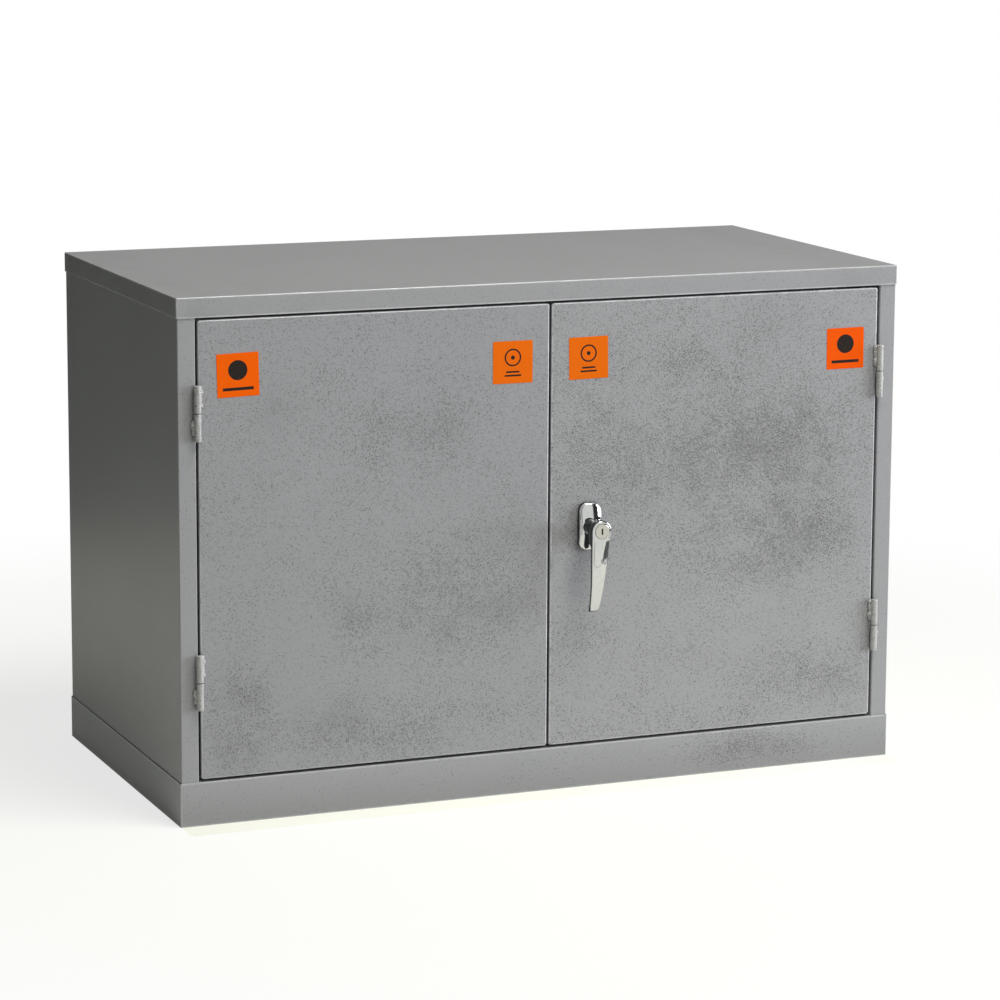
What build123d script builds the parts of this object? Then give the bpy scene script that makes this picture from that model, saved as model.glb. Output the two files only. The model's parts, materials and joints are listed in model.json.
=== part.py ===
from build123d import *
import math
import os

# A low two-door steel cupboard for hazardous lab and clinic reagents. Folded sheet carcass with a
# spill-proof floor and one dished shelf, two inset doors on weld-on barrel hinges, a chrome locking
# lever on the right door that throws a rod up and a rod down, and two slide bolts in the left door.
# Millimetres. X runs right along the front, Y back, Z up. The origin is the bottom centre of the
# overall envelope, lever included.

# ---- driving dimensions -------------------------------------------------------------------------
WIDTH = 914.0               # over the cap and the plinth
DEPTH = 461.0
HEIGHT = 613.0
SHEET = 1.2                 # steel sheet of carcass, doors and shelf
BEND_R = 1.5                # outer radius of a fold

CAP_SKIRT = 23.5            # height of the cap's folded-down rim
PLINTH_H = 51.5
PLINTH_FOOT = 25.0          # width of the plinth's foot flange
PLINTH_LEDGE = 42.0         # depth of the plinth's front ledge, which the floor pan rests on
POST_FACE = 21.4            # width of the side panel's front post
BACK_FLANGE = 15.0
STOP_LIP = 10.0             # how far the post's stop lip reaches behind the door
STOP_GAP = 2.0              # from the door's back to the post's stop lip

DOOR_GAP = 3.0              # all round each door
DOOR_T = 19.0
DOOR_LIP = 15.0             # folded-in rim at the back of the door
DOOR_EDGE_R = 2.0           # rounding of the folds round a door's face
DOOR_CORNER_R = 3.0

HEADER_DROP = 12.0          # how far the header rail hangs behind the doors' top edge
HEADER_TOP_FLANGE = 16.0
HEADER_LOW_FLANGE = 12.0
SILL_H = 15.0               # upstand round the floor pan
BEARER_W = 60.0
BEARER_H = 20.0
BEARER_FOOT = 12.0

BUFFER_R = 6.0
BUFFER_INSET = 60.0         # from the doors' meeting line to a buffer
SOFT_GAP = 0.3              # between a closed door and its buffers

STRIP_W = 25.0
STRIP_DEPTH = 10.0
STRIP_SHEET = 1.5
STRIP_FOOT_GAP = 5.5        # strip above the floor's upstand
STRIP_TOP_GAP = 12.5        # strip below the header rail
STRIP_FRONT = 68.0          # from the front of the cupboard to the front strips' middle
STRIP_REAR = 60.0           # from the back of the cupboard to the rear strips' middle
STRIP_SLOT_W = 12.0
STRIP_SLOT_H = 4.0
STRIP_PITCH = 25.0
STRIP_FIRST_SLOT = 15.0

SHELF_SLOT_NUMBER = 9       # the slot, counted from below, that the shelf clips hook into
SHELF_DEPTH = 400.0
SHELF_SIDE_PLAY = 2.0
SHELF_FRONT = 46.0          # from the front of the cupboard to the shelf
SHELF_RIM = 25.0
SHELF_HEM = 7.0
RIB_W = 60.0                # hat rib under the shelf
RIB_H = 18.0
RIB_FOOT = 12.0
CLIP_SHEET = 1.5
CLIP_W = 20.0
CLIP_H = 22.0
CLIP_LEDGE = 15.0
CLIP_TAB_W = 10.0
CLIP_TAB_H = 3.2

STIFFENER_W = 50.0          # hat stiffener inside each door
STIFFENER_H = 13.0
STIFFENER_FOOT = 12.0

BARREL_R = 4.5
HINGE_LENGTH = 64.0
HINGE_OFFSET = 0.8          # hinge axis outwards from the middle of the door gap
HINGE_STANDOFF = 0.3        # between a barrel and the faces behind it
HINGE_GAP = 0.8             # between the two halves
HINGE_WASHER_T = 0.6
HINGE_WASHER_R = 4.0
HINGE_PIN_R = 2.5
HINGE_PIN_REACH = 24.0      # how far the pin stands up into the door's half
HINGE_RUNNING = 0.08
PRESSED = 0.02
# from the door's upper or lower edge to the joint between a hinge's halves
HINGE_INSET = {"upper_left": 105.5, "upper_right": 102.0, "lower_left": 115.0, "lower_right": 113.5}
BEAD_R = 2.1                # weld drop
BEAD_PROUD = 1.5            # a drop's middle in front of the door and post
BEAD_UNEVEN = 0.12          # share by which the drops differ in size
BEAD_PITCH = 2.6
DOOR_BEAD_LENGTH = 26.0
POST_BEAD_LENGTH = 18.0

LABEL_SIDE = 50.0
LABEL_T = 0.3
# a label's middle from the door's side edge and from its upper edge, and its tilt in degrees
LABELS = {
    "left_outer_label": (47.1, 64.2, 1.4),
    "left_inner_label": (46.4, 67.0, 0.0),
    "right_inner_label": (47.1, 66.7, 0.7),
    "right_outer_label": (43.2, 72.3, 0.4),
}

PIVOT_X = 50.5              # lever pivot from the doors' meeting line
PIVOT_DROP = 2.0            # lever pivot below the middle of the door
HANDLE_REACH = 40.0         # key cylinder's face in front of the cap
KEY_PROUD = 0.5             # key cylinder in front of the lever
LEVER_HEAD_R = 12.6
LEVER_HEAD_T = 12.0
LEVER_T = 5.0
LEVER_LENGTH = 98.0         # pivot to tip
LEVER_TIP_CURL = 6.0        # how far the tip bends towards the door
LEVER_CURL_LENGTH = 44.0    # length of the bent stretch
LEVER_TIP_R = 5.0           # rounding of the tip's far corner
LEVER_TAPER = 7.7           # degrees between the lever's two edges
LEVER_EDGE_R = 1.2
LEVER_NECK_R = 9.0
JOURNAL_R = 7.0
JOURNAL_RUNNING = 0.08
JOURNAL_END_GAP = 2.0       # journal short of the door's face
NECK_GAP = 0.4
ESCUTCHEON_W = 28.6
ESCUTCHEON_H = 57.0
ESCUTCHEON_T = 11.0
ESCUTCHEON_END_T = 7.0
ESCUTCHEON_R = 10.0
ESCUTCHEON_TAPER = 6.0      # degrees that its sides lean in
BOSS_R = 10.0
BOSS_H = 7.0
CYLINDER_R = 8.5
CYLINDER_DEPTH = 13.0
PLUG_R = 5.8
PLUG_RUNNING = 0.06
KEYWAY_W = 2.0
KEYWAY_H = 7.6
KEYWAY_DEPTH = 8.0
SPINDLE_SIDE = 8.0
SPINDLE_GRIP = 20.0         # spindle inside the lever's journal
SPINDLE_HOLE_R = 6.5        # through the door
FIX_SCREW_R = 2.5
FIX_SCREW_HEAD_R = 4.0
FIX_SCREW_HEAD_T = 2.5
FIX_SCREW_BITE = 6.0
FIX_SCREW_PITCH = 40.0
SCREW_PLAY = 0.25

CRANK_R = 16.0
CRANK_T = 3.0
CRANK_W = 14.0
CRANK_OFFSET = 7.0          # crank plate behind the door's face
CRANK_PIN_R = 2.5
CRANK_PIN_PROUD = 1.0       # pin through the yoke
CRANK_SCREW_R = 2.5
CRANK_SCREW_BITE = 9.0
ROD_W = 10.0
ROD_T = 3.0
ROD_PLAY = 0.3              # rod in its guide and in the door's rim
ROD_LAYER_GAP = 0.6         # crank plate to rod
ROD_SETBACK = 1.0           # rod end below the door's edge when drawn back
YOKE_H = 13.0
YOKE_WALL = 3.5
YOKE_PLAY = 0.15
GUIDE_H = 14.0
GUIDE_SHEET = 1.5
GUIDE_FOOT = 8.0
GUIDE_INSET = 72.0          # from the door's edge to a guide's middle
CATCH_PLAY = 1.0            # rod or bolt in the hole that catches it

BOLT_X = 32.0               # slide bolt from the doors' meeting line
BOLT_R = 4.0
BOLT_OFFSET = 10.0          # bolt's axis behind the door's face
BOLT_THROW = 15.0
BOLT_PLAY = 0.3
BOLT_HOUSING_W = 26.0
BOLT_HOUSING_INSET = 24.0   # from the door's edge to the housing
BOLT_KNOB_R = 3.0
BOLT_KNOB_REACH = 14.0
BOLT_KNOB_PLAY = 1.0

# ---- places worked out from the dimensions ------------------------------------------------------
FRONT = HANDLE_REACH - (DEPTH + HANDLE_REACH) / 2
BACK = FRONT + DEPTH
FACE = FRONT + SHEET                       # doors and posts lie one sheet behind the cap
SIDE_OUT = WIDTH / 2 - SHEET               # outer face of a side panel
SIDE_IN = SIDE_OUT - SHEET
POST_IN = SIDE_OUT - POST_FACE
ROOF = HEIGHT - SHEET                      # underside of the cap
HEADER_Z = HEIGHT - CAP_SKIRT              # lower edge of the cap
FLOOR_Z = PLINTH_H                         # underside of the floor pan

DOOR_OUT = POST_IN - DOOR_GAP
DOOR_IN = DOOR_GAP / 2
DOOR_Z0 = PLINTH_H + DOOR_GAP
DOOR_Z1 = HEADER_Z - DOOR_GAP
DOOR_BACK = FACE + DOOR_T
PIVOT_Z = (DOOR_Z0 + DOOR_Z1) / 2 - PIVOT_DROP
SKIN_BACK = FACE + SHEET
STOP_Y = DOOR_BACK + STOP_GAP              # front of the posts' stop lips
RAIL_Y = STOP_Y + SHEET                    # front of header rail and floor upstand

HINGE_X = (DOOR_OUT + POST_IN) / 2 + HINGE_OFFSET
HINGE_Y = FACE - HINGE_STANDOFF - BARREL_R

KEY_FACE = FRONT - HANDLE_REACH
LEVER_FACE = KEY_FACE + KEY_PROUD
LEVER_NECK_FRONT = LEVER_FACE + LEVER_HEAD_T
BOSS_FRONT = FACE - ESCUTCHEON_T - BOSS_H

CRANK_Y = FACE + CRANK_OFFSET
ROD_Y = CRANK_Y + CRANK_T + ROD_LAYER_GAP
PIN_SIDE = CRANK_R * math.sin(math.radians(45))      # a crank pin beside the pivot at both limits
ROD_THROW = 2 * PIN_SIDE
ROD_OFFSET = (PIN_SIDE + CRANK_R) / 2                # rod's middle beside the pivot
ROD_RATIO = ROD_THROW / math.radians(90)             # rod travel per radian of lever
YOKE_ERROR = 0.03 * CRANK_R                          # pin's height off the steady ratio, at most
YOKE_SLOT_W = CRANK_R - PIN_SIDE + 2 * (CRANK_PIN_R + YOKE_PLAY)
YOKE_SLOT_H = 2 * (CRANK_PIN_R + YOKE_ERROR + YOKE_PLAY)

STRIP_Z0 = FLOOR_Z + SILL_H + STRIP_FOOT_GAP
STRIP_Z1 = DOOR_Z1 - HEADER_DROP - STRIP_TOP_GAP
SHELF_Z = STRIP_Z0 + STRIP_FIRST_SLOT + SHELF_SLOT_NUMBER * STRIP_PITCH + CLIP_H / 2
STRIP_FACE = SIDE_IN - STRIP_DEPTH
STRIP_YS = (FRONT + STRIP_FRONT, BACK - STRIP_REAR)


# ---- helpers ------------------------------------------------------------------------------------
def slab(x, y, z):
    """A box between two corners, each argument a pair of limits."""
    size = [abs(b - a) for a, b in (x, y, z)]
    return Pos(*[(a + b) / 2 for a, b in (x, y, z)]) * Box(*size)


def rod_y(radius, x, y, z):
    """A round bar along Y, y a pair of limits."""
    return Pos(x, (y[0] + y[1]) / 2, z) * Rot(90, 0, 0) * Cylinder(radius, abs(y[1] - y[0]))


def rod_z(radius, x, y, z):
    """A round bar along Z, z a pair of limits."""
    return Pos(x, y, (z[0] + z[1]) / 2) * Cylinder(radius, abs(z[1] - z[0]))


def edges_at(shape, **place):
    """The edges whose middle lies at the given X, Y or Z."""

    def there(edge):
        middle = edge.center()
        return all(abs(getattr(middle, axis) - value) < 0.01 for axis, value in place.items())

    return shape.edges().filter_by(there)


def rim_of(faces):
    """The outer edges of a patch of faces, without those that two of the faces share."""
    edges = [edge for face in faces for edge in face.edges()]
    return [edge for edge in edges if sum(edge.is_same(other) for other in edges) == 1]


def side_of(name):
    """-1 for a piece of the left half and 1 for one of the right."""
    return -1 if "left" in name else 1


def other_side(shape):
    """The same piece on the other side of the cupboard."""
    return mirror(shape, about=Plane.YZ)


def hat(length_axis, across, up, length, foot, sheet):
    """A hat channel: a raised top on two legs with feet turned out.

    across and up are pairs of limits. The feet lie at up[0] and the top at up[1].
    """
    inward = 1 if up[1] > up[0] else -1
    low, high = up
    a0, a1 = across
    top = ((a0, a1), (high - inward * sheet, high))
    legs = [((a0, a0 + sheet), (low, high)), ((a1 - sheet, a1), (low, high))]
    feet = [((a0 - foot, a0 + sheet), (low, low + inward * sheet)),
            ((a1 - sheet, a1 + foot), (low, low + inward * sheet))]
    strips = [top] + legs + feet
    if length_axis == "x":
        return Part() + [slab(length, a, u) for a, u in strips]
    return Part() + [slab(a, u, length) for a, u in strips]


# ---- carcass ------------------------------------------------------------------------------------
def catch_holes(z):
    """The holes that take the lock rods and slide bolts, through a sheet whose limits are z."""
    holes = []
    rod_x = PIVOT_X + ROD_OFFSET if z[0] > PIVOT_Z else PIVOT_X - ROD_OFFSET
    half = ROD_W / 2 + CATCH_PLAY
    holes.append(slab((rod_x - half, rod_x + half), (ROD_Y - CATCH_PLAY, ROD_Y + ROD_T + CATCH_PLAY), z))
    holes.append(rod_z(BOLT_R + CATCH_PLAY, -BOLT_X, FACE + BOLT_OFFSET, z))
    return holes


def top_cap():
    """The lid: a tray folded down on four sides, with a ledge turned in over the doors."""
    half = WIDTH / 2
    outer = slab((-half, half), (FRONT, BACK), (HEADER_Z, HEIGHT))
    rim = edges_at(outer, Z=(HEADER_Z + HEIGHT) / 2) + edges_at(outer, Z=HEIGHT)
    outer = fillet(rim, BEND_R)
    hollow = slab((-half + SHEET, half - SHEET), (FRONT + SHEET, BACK - SHEET), (HEADER_Z, ROOF))
    ledge_z = (HEADER_Z, HEADER_Z + SHEET)
    ledge = slab((-POST_IN, POST_IN), (FACE, RAIL_Y), ledge_z)
    return outer - hollow + (ledge - catch_holes(ledge_z))


def base_plinth():
    """The base: a ring of sheet round the foot, with a foot flange and a front ledge."""
    half = WIDTH / 2
    outer = slab((-half, half), (FRONT, BACK), (0, PLINTH_H))
    outer = fillet(edges_at(outer, Z=PLINTH_H / 2), BEND_R)
    hollow = slab((-half + SHEET, half - SHEET), (FRONT + SHEET, BACK - SHEET), (SHEET, PLINTH_H))
    inset = SHEET + PLINTH_FOOT
    mouth = slab((-half + inset, half - inset), (FRONT + inset, BACK - inset), (0, SHEET))
    ledge_z = (PLINTH_H - SHEET, PLINTH_H)
    ledge = slab((-POST_IN, POST_IN), (FACE, FACE + PLINTH_LEDGE), ledge_z)
    return outer - hollow - mouth + (ledge - catch_holes(ledge_z))


def side_panel():
    """The right side: one sheet folded into a front post with a stop lip, and a back flange."""
    tall = (SHEET, ROOF)
    panel = slab((SIDE_IN, SIDE_OUT), (FACE, BACK - SHEET), tall)
    panel += slab((POST_IN, SIDE_OUT), (FACE, FACE + SHEET), tall)
    panel += slab((POST_IN, POST_IN + SHEET), (FACE, RAIL_Y), tall)
    panel += slab((POST_IN - STOP_LIP, POST_IN + SHEET), (STOP_Y, RAIL_Y), (PLINTH_H, HEADER_Z))
    panel += slab((SIDE_OUT - BACK_FLANGE, SIDE_OUT), (BACK - 2 * SHEET, BACK - SHEET), tall)
    folds = edges_at(panel, X=SIDE_OUT, Y=FACE) + edges_at(panel, X=POST_IN, Y=FACE)
    folds += edges_at(panel, X=SIDE_OUT, Y=BACK - SHEET)
    return fillet(folds, BEND_R)


def back_panel():
    """The back: one flat sheet inside the side panels' back flanges."""
    return slab((-SIDE_IN, SIDE_IN), (BACK - 3 * SHEET, BACK - 2 * SHEET), (SHEET, ROOF))


def header_rail():
    """The rail behind the cap's front, which the doors' top edges close against."""
    z0 = DOOR_Z1 - HEADER_DROP
    rail = slab((-SIDE_IN, SIDE_IN), (RAIL_Y, RAIL_Y + SHEET), (z0, ROOF))
    rail += slab((-SIDE_IN, SIDE_IN), (RAIL_Y, RAIL_Y + HEADER_LOW_FLANGE), (z0, z0 + SHEET))
    return rail + slab((-SIDE_IN, SIDE_IN), (RAIL_Y, RAIL_Y + HEADER_TOP_FLANGE), (ROOF - SHEET, ROOF))


def floor_pan():
    """The floor: a liquid-tight tray whose front upstand is the doors' lower stop."""
    outer = slab((-SIDE_IN, SIDE_IN), (RAIL_Y, BACK - 3 * SHEET), (FLOOR_Z, FLOOR_Z + SILL_H))
    hollow = slab((-SIDE_IN + SHEET, SIDE_IN - SHEET), (RAIL_Y + SHEET, BACK - 4 * SHEET),
                  (FLOOR_Z + SHEET, FLOOR_Z + SILL_H))
    return outer - hollow


def floor_bearer():
    """A hat channel across the base that carries the middle of the floor pan."""
    middle = (FRONT + BACK) / 2
    across = (middle - BEARER_W / 2, middle + BEARER_W / 2)
    return hat("x", across, (FLOOR_Z - BEARER_H, FLOOR_Z), (-SIDE_IN, SIDE_IN), BEARER_FOOT, SHEET)


def door_buffers():
    """Four rubber discs on the header rail and the floor's upstand, two behind each door."""
    discs = []
    for z in (DOOR_Z0 + SILL_H / 2 - DOOR_GAP / 2, DOOR_Z1 - HEADER_DROP / 2):
        for x in (-BUFFER_INSET, BUFFER_INSET):
            discs.append(rod_y(min(BUFFER_R, HEADER_DROP / 2), x, (DOOR_BACK + SOFT_GAP, RAIL_Y), z))
    return discs


# ---- shelf --------------------------------------------------------------------------------------
def shelf_strip(y):
    """A slotted channel on the right side panel, which the shelf clips hook into."""
    across = (y - STRIP_W / 2, y + STRIP_W / 2)
    tall = (STRIP_Z0, STRIP_Z1)
    channel = slab((STRIP_FACE, SIDE_IN), across, tall)
    inside = (across[0] + STRIP_SHEET, across[1] - STRIP_SHEET)
    channel -= slab((STRIP_FACE + STRIP_SHEET, SIDE_IN), inside, tall)
    count = int((STRIP_Z1 - STRIP_Z0 - 2 * STRIP_FIRST_SLOT) / STRIP_PITCH) + 1
    slots = []
    slot_y = (y - STRIP_SLOT_W / 2, y + STRIP_SLOT_W / 2)
    for number in range(count):
        z = STRIP_Z0 + STRIP_FIRST_SLOT + number * STRIP_PITCH
        slot_z = (z - STRIP_SLOT_H / 2, z + STRIP_SLOT_H / 2)
        slots.append(slab((STRIP_FACE, STRIP_FACE + STRIP_SHEET), slot_y, slot_z))
    return channel - slots


def shelf_clip(y):
    """A bent clip hooked into a right-hand strip, with a ledge under the shelf."""
    face = (STRIP_FACE - CLIP_SHEET, STRIP_FACE)
    across = (y - CLIP_W / 2, y + CLIP_W / 2)
    clip = slab(face, across, (SHELF_Z - CLIP_H, SHELF_Z))
    clip += slab((STRIP_FACE - CLIP_LEDGE, STRIP_FACE), across, (SHELF_Z - CLIP_SHEET, SHELF_Z))
    tab_z = SHELF_Z - CLIP_H / 2
    tab_y = (y - CLIP_TAB_W / 2, y + CLIP_TAB_W / 2)
    clip += slab((STRIP_FACE - CLIP_SHEET, STRIP_FACE + STRIP_SHEET + CLIP_SHEET), tab_y,
                 (tab_z - CLIP_TAB_H / 2, tab_z + CLIP_TAB_H / 2))
    return clip


def shelf_clips():
    """Four clips, two to a side."""
    right = [shelf_clip(y) for y in STRIP_YS]
    return right + [other_side(clip) for clip in right]


def shelf_limits():
    """Half width, front and back of the shelf."""
    return STRIP_FACE - SHELF_SIDE_PLAY, FRONT + SHELF_FRONT, FRONT + SHELF_FRONT + SHELF_DEPTH


def shelf_tray():
    """The shelf: a dished tray with a rim on four sides, hemmed inwards at front and back."""
    half, y0, y1 = shelf_limits()
    top = SHELF_Z + SHELF_RIM
    tray = slab((-half, half), (y0, y1), (SHELF_Z, top))
    tray -= slab((-half + SHEET, half - SHEET), (y0 + SHEET, y1 - SHEET), (SHELF_Z + SHEET, top))
    inner = (-half + SHEET, half - SHEET)
    tray += slab(inner, (y0, y0 + SHELF_HEM), (top - SHEET, top))
    tray += slab(inner, (y1 - SHELF_HEM, y1), (top - SHEET, top))
    folds = edges_at(tray, Y=y0, Z=SHELF_Z) + edges_at(tray, Y=y0, Z=top)
    folds += edges_at(tray, Y=y1, Z=SHELF_Z) + edges_at(tray, Y=y1, Z=top)
    return fillet(folds, min(BEND_R, SHEET * 0.9))


def shelf_rib():
    """A hat rib welded under the middle of the shelf."""
    half, y0, y1 = shelf_limits()
    middle = (y0 + y1) / 2
    across = (middle - RIB_W / 2, middle + RIB_W / 2)
    reach = half - CLIP_LEDGE - SHELF_RIM
    return hat("x", across, (SHELF_Z, SHELF_Z - RIB_H), (-reach, reach), RIB_FOOT, SHEET)


# ---- doors --------------------------------------------------------------------------------------
def door_pan():
    """The right door without its holes: a pan folded back on four sides with a rim turned in."""
    outer = slab((DOOR_IN, DOOR_OUT), (FACE, DOOR_BACK), (DOOR_Z0, DOOR_Z1))
    outer = fillet(edges_at(outer, Y=(FACE + DOOR_BACK) / 2), DOOR_CORNER_R)
    outer = fillet(outer.faces().sort_by(Axis.Y)[0].edges(), DOOR_EDGE_R)
    hollow = slab((DOOR_IN + SHEET, DOOR_OUT - SHEET), (FACE + SHEET, DOOR_BACK - SHEET),
                  (DOOR_Z0 + SHEET, DOOR_Z1 - SHEET))
    hollow = fillet(edges_at(hollow, Y=(FACE + DOOR_BACK) / 2), max(DOOR_CORNER_R - SHEET, 0.5))
    window = slab((DOOR_IN + DOOR_LIP, DOOR_OUT - DOOR_LIP), (DOOR_BACK - SHEET, DOOR_BACK),
                  (DOOR_Z0 + DOOR_LIP, DOOR_Z1 - DOOR_LIP))
    return outer - hollow - window


def rod_slot(x, z):
    """The slot in the door's rim that a lock rod slides through."""
    half = ROD_W / 2 + ROD_PLAY
    return slab((x - half, x + half), (ROD_Y - ROD_PLAY, ROD_Y + ROD_T + ROD_PLAY), z)


def right_door_skin():
    """The lock door, pierced for the spindle, its two fixing screws and both rods."""
    through = (FACE, SKIN_BACK)
    skin = door_pan() - rod_y(SPINDLE_HOLE_R, PIVOT_X, through, PIVOT_Z)
    for z in screw_heights():
        skin -= rod_y(FIX_SCREW_R + SCREW_PLAY, PIVOT_X, through, z)
    skin -= rod_slot(PIVOT_X + ROD_OFFSET, (DOOR_Z1 - SHEET, DOOR_Z1))
    return skin - rod_slot(PIVOT_X - ROD_OFFSET, (DOOR_Z0, DOOR_Z0 + SHEET))


def left_door_skin():
    """The bolted door, with a round hole for a slide bolt in its upper and lower rim."""
    skin = other_side(door_pan())
    for z in ((DOOR_Z1 - SHEET, DOOR_Z1), (DOOR_Z0, DOOR_Z0 + SHEET)):
        skin -= rod_z(BOLT_R + BOLT_PLAY, -BOLT_X, FACE + BOLT_OFFSET, z)
    return skin


def door_stiffener():
    """A hat channel welded up the middle of the right door's skin."""
    middle = (DOOR_IN + DOOR_OUT) / 2
    across = (middle - STIFFENER_W / 2, middle + STIFFENER_W / 2)
    up = (SKIN_BACK, SKIN_BACK + STIFFENER_H)
    return hat("z", across, up, (DOOR_Z0 + SHEET, DOOR_Z1 - SHEET), STIFFENER_FOOT, SHEET)


def label(name):
    """A square sticker near an upper corner of a door."""
    inset, drop, tilt = LABELS[name]
    x = side_of(name) * (DOOR_OUT - inset if "outer" in name else DOOR_IN + inset)
    plate = Box(LABEL_SIDE, LABEL_T, LABEL_SIDE)
    return Pos(x, FACE - LABEL_T / 2, DOOR_Z1 - drop) * Rot(0, -tilt, 0) * plate


# ---- hinges -------------------------------------------------------------------------------------
def hinge_split(name):
    """The height of the joint between a hinge's halves."""
    inset = HINGE_INSET[name]
    return DOOR_Z1 - inset if name.startswith("upper") else DOOR_Z0 + inset


def weld_bead(x, z_limits):
    """A row of weld drops of uneven size between a barrel and the face behind it."""
    low, high = z_limits
    count = max(int((high - low) / BEAD_PITCH), 1)
    drops = []
    for number in range(count + 1):
        radius = BEAD_R * (1 + BEAD_UNEVEN * math.sin(2 * number + x))
        z = low + (high - low) * number / count
        drops.append(Pos(x, FACE - BEAD_PROUD, z) * Sphere(radius))
    bead = Part() + drops
    reach = 3 * BEAD_R
    return bead - slab((x - reach, x + reach), (FACE, FACE + reach), (low - reach, high + reach))


def door_barrel(name):
    """A hinge's upper half, blind at the top, welded to the door."""
    side, split = side_of(name), hinge_split(name)
    x, low, high = side * HINGE_X, split + HINGE_GAP / 2, split + HINGE_LENGTH / 2
    barrel = rod_z(BARREL_R, x, HINGE_Y, (low, high))
    bead_x = x - side * BARREL_R
    barrel += weld_bead(bead_x, (high - DOOR_BEAD_LENGTH, high - BEAD_R))
    bore = (low, split + HINGE_PIN_REACH + HINGE_GAP)
    return barrel - rod_z(HINGE_PIN_R + HINGE_RUNNING, x, HINGE_Y, bore)


def post_barrel(name):
    """A hinge's lower half, which holds the pin, welded to the post."""
    side, split = side_of(name), hinge_split(name)
    x, low, high = side * HINGE_X, split - HINGE_LENGTH / 2, split - HINGE_GAP / 2
    barrel = rod_z(BARREL_R, x, HINGE_Y, (low, high))
    bead_x = x + side * BARREL_R
    middle = (low + high) / 2
    barrel += weld_bead(bead_x, (middle - POST_BEAD_LENGTH / 2, middle + POST_BEAD_LENGTH / 2))
    return barrel - rod_z(HINGE_PIN_R + PRESSED, x, HINGE_Y, (low, high))


def hinge_pins():
    """Four pins, one pressed into each lower half."""
    pins = []
    for name in HINGE_INSET:
        split = hinge_split(name)
        z = (split - HINGE_LENGTH / 2, split + HINGE_PIN_REACH)
        pins.append(rod_z(HINGE_PIN_R, side_of(name) * HINGE_X, HINGE_Y, z))
    return pins


def hinge_washers():
    """Four thin washers, one between the halves of each hinge."""
    washers = []
    for name in HINGE_INSET:
        x, low = side_of(name) * HINGE_X, hinge_split(name) - HINGE_GAP / 2
        z = (low, low + HINGE_WASHER_T)
        washers.append(rod_z(HINGE_WASHER_R, x, HINGE_Y, z) - rod_z(HINGE_PIN_R + PRESSED, x, HINGE_Y, z))
    return washers


# ---- lever handle and lock ----------------------------------------------------------------------
def screw_heights():
    """The heights of the two screws that hold the escutcheon."""
    return PIVOT_Z - FIX_SCREW_PITCH / 2, PIVOT_Z + FIX_SCREW_PITCH / 2


def escutcheon():
    """The chromed base of the handle: a domed oblong with a round boss that bears the lever."""
    outline = Plane.XZ * Pos(PIVOT_X, PIVOT_Z) * RectangleRounded(ESCUTCHEON_W, ESCUTCHEON_H, ESCUTCHEON_R)
    body = Pos(0, FACE, 0) * extrude(outline, ESCUTCHEON_T, taper=ESCUTCHEON_TAPER)
    end, high = ESCUTCHEON_H / 2, ESCUTCHEON_T + BOSS_H
    profile = Polyline((FACE, PIVOT_Z - end), (FACE - ESCUTCHEON_END_T, PIVOT_Z - end),
                       (FACE - ESCUTCHEON_T, PIVOT_Z - BOSS_R), (FACE - ESCUTCHEON_T, PIVOT_Z + BOSS_R),
                       (FACE - ESCUTCHEON_END_T, PIVOT_Z + end), (FACE, PIVOT_Z + end), close=True)
    crown = extrude(Plane.YZ * make_face(profile), WIDTH, both=True)
    body = body & crown
    body += rod_y(BOSS_R, PIVOT_X, (FACE - high, FACE - SHEET), PIVOT_Z)
    body -= rod_y(JOURNAL_R + JOURNAL_RUNNING, PIVOT_X, (FACE - high, FACE), PIVOT_Z)
    for z in screw_heights():
        body -= rod_y(FIX_SCREW_R + PRESSED, PIVOT_X, (FACE - FIX_SCREW_BITE, FACE), z)
    return body


def escutcheon_screws():
    """Two screws from inside the door into the escutcheon."""
    screws = []
    for z in screw_heights():
        shank = rod_y(FIX_SCREW_R, PIVOT_X, (FACE - FIX_SCREW_BITE, SKIN_BACK), z)
        screws.append(shank + rod_y(FIX_SCREW_HEAD_R, PIVOT_X, (SKIN_BACK, SKIN_BACK + FIX_SCREW_HEAD_T), z))
    return screws


def lever_outline():
    """The lever seen from the front: a round head whose two tangents run down to a narrow tip."""
    taper = math.radians(LEVER_TAPER)
    left = PIVOT_X - LEVER_HEAD_R
    leave_x = PIVOT_X + LEVER_HEAD_R * math.cos(taper)
    leave_z = PIVOT_Z - LEVER_HEAD_R * math.sin(taper)
    tip_z = PIVOT_Z - LEVER_LENGTH
    tip_x = leave_x - (leave_z - tip_z) * math.tan(taper)
    outline = make_face([
        ThreePointArc((left, PIVOT_Z), (PIVOT_X, PIVOT_Z + LEVER_HEAD_R), (leave_x, leave_z)),
        Line((leave_x, leave_z), (tip_x, tip_z)),
        Line((tip_x, tip_z), (left, tip_z)),
        Line((left, tip_z), (left, PIVOT_Z)),
    ])
    outline = fillet(outline.vertices().sort_by_distance((tip_x, tip_z))[0], LEVER_TIP_R)
    return fillet(outline.vertices().sort_by_distance((left, tip_z))[0], LEVER_TIP_R / 2)


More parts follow.
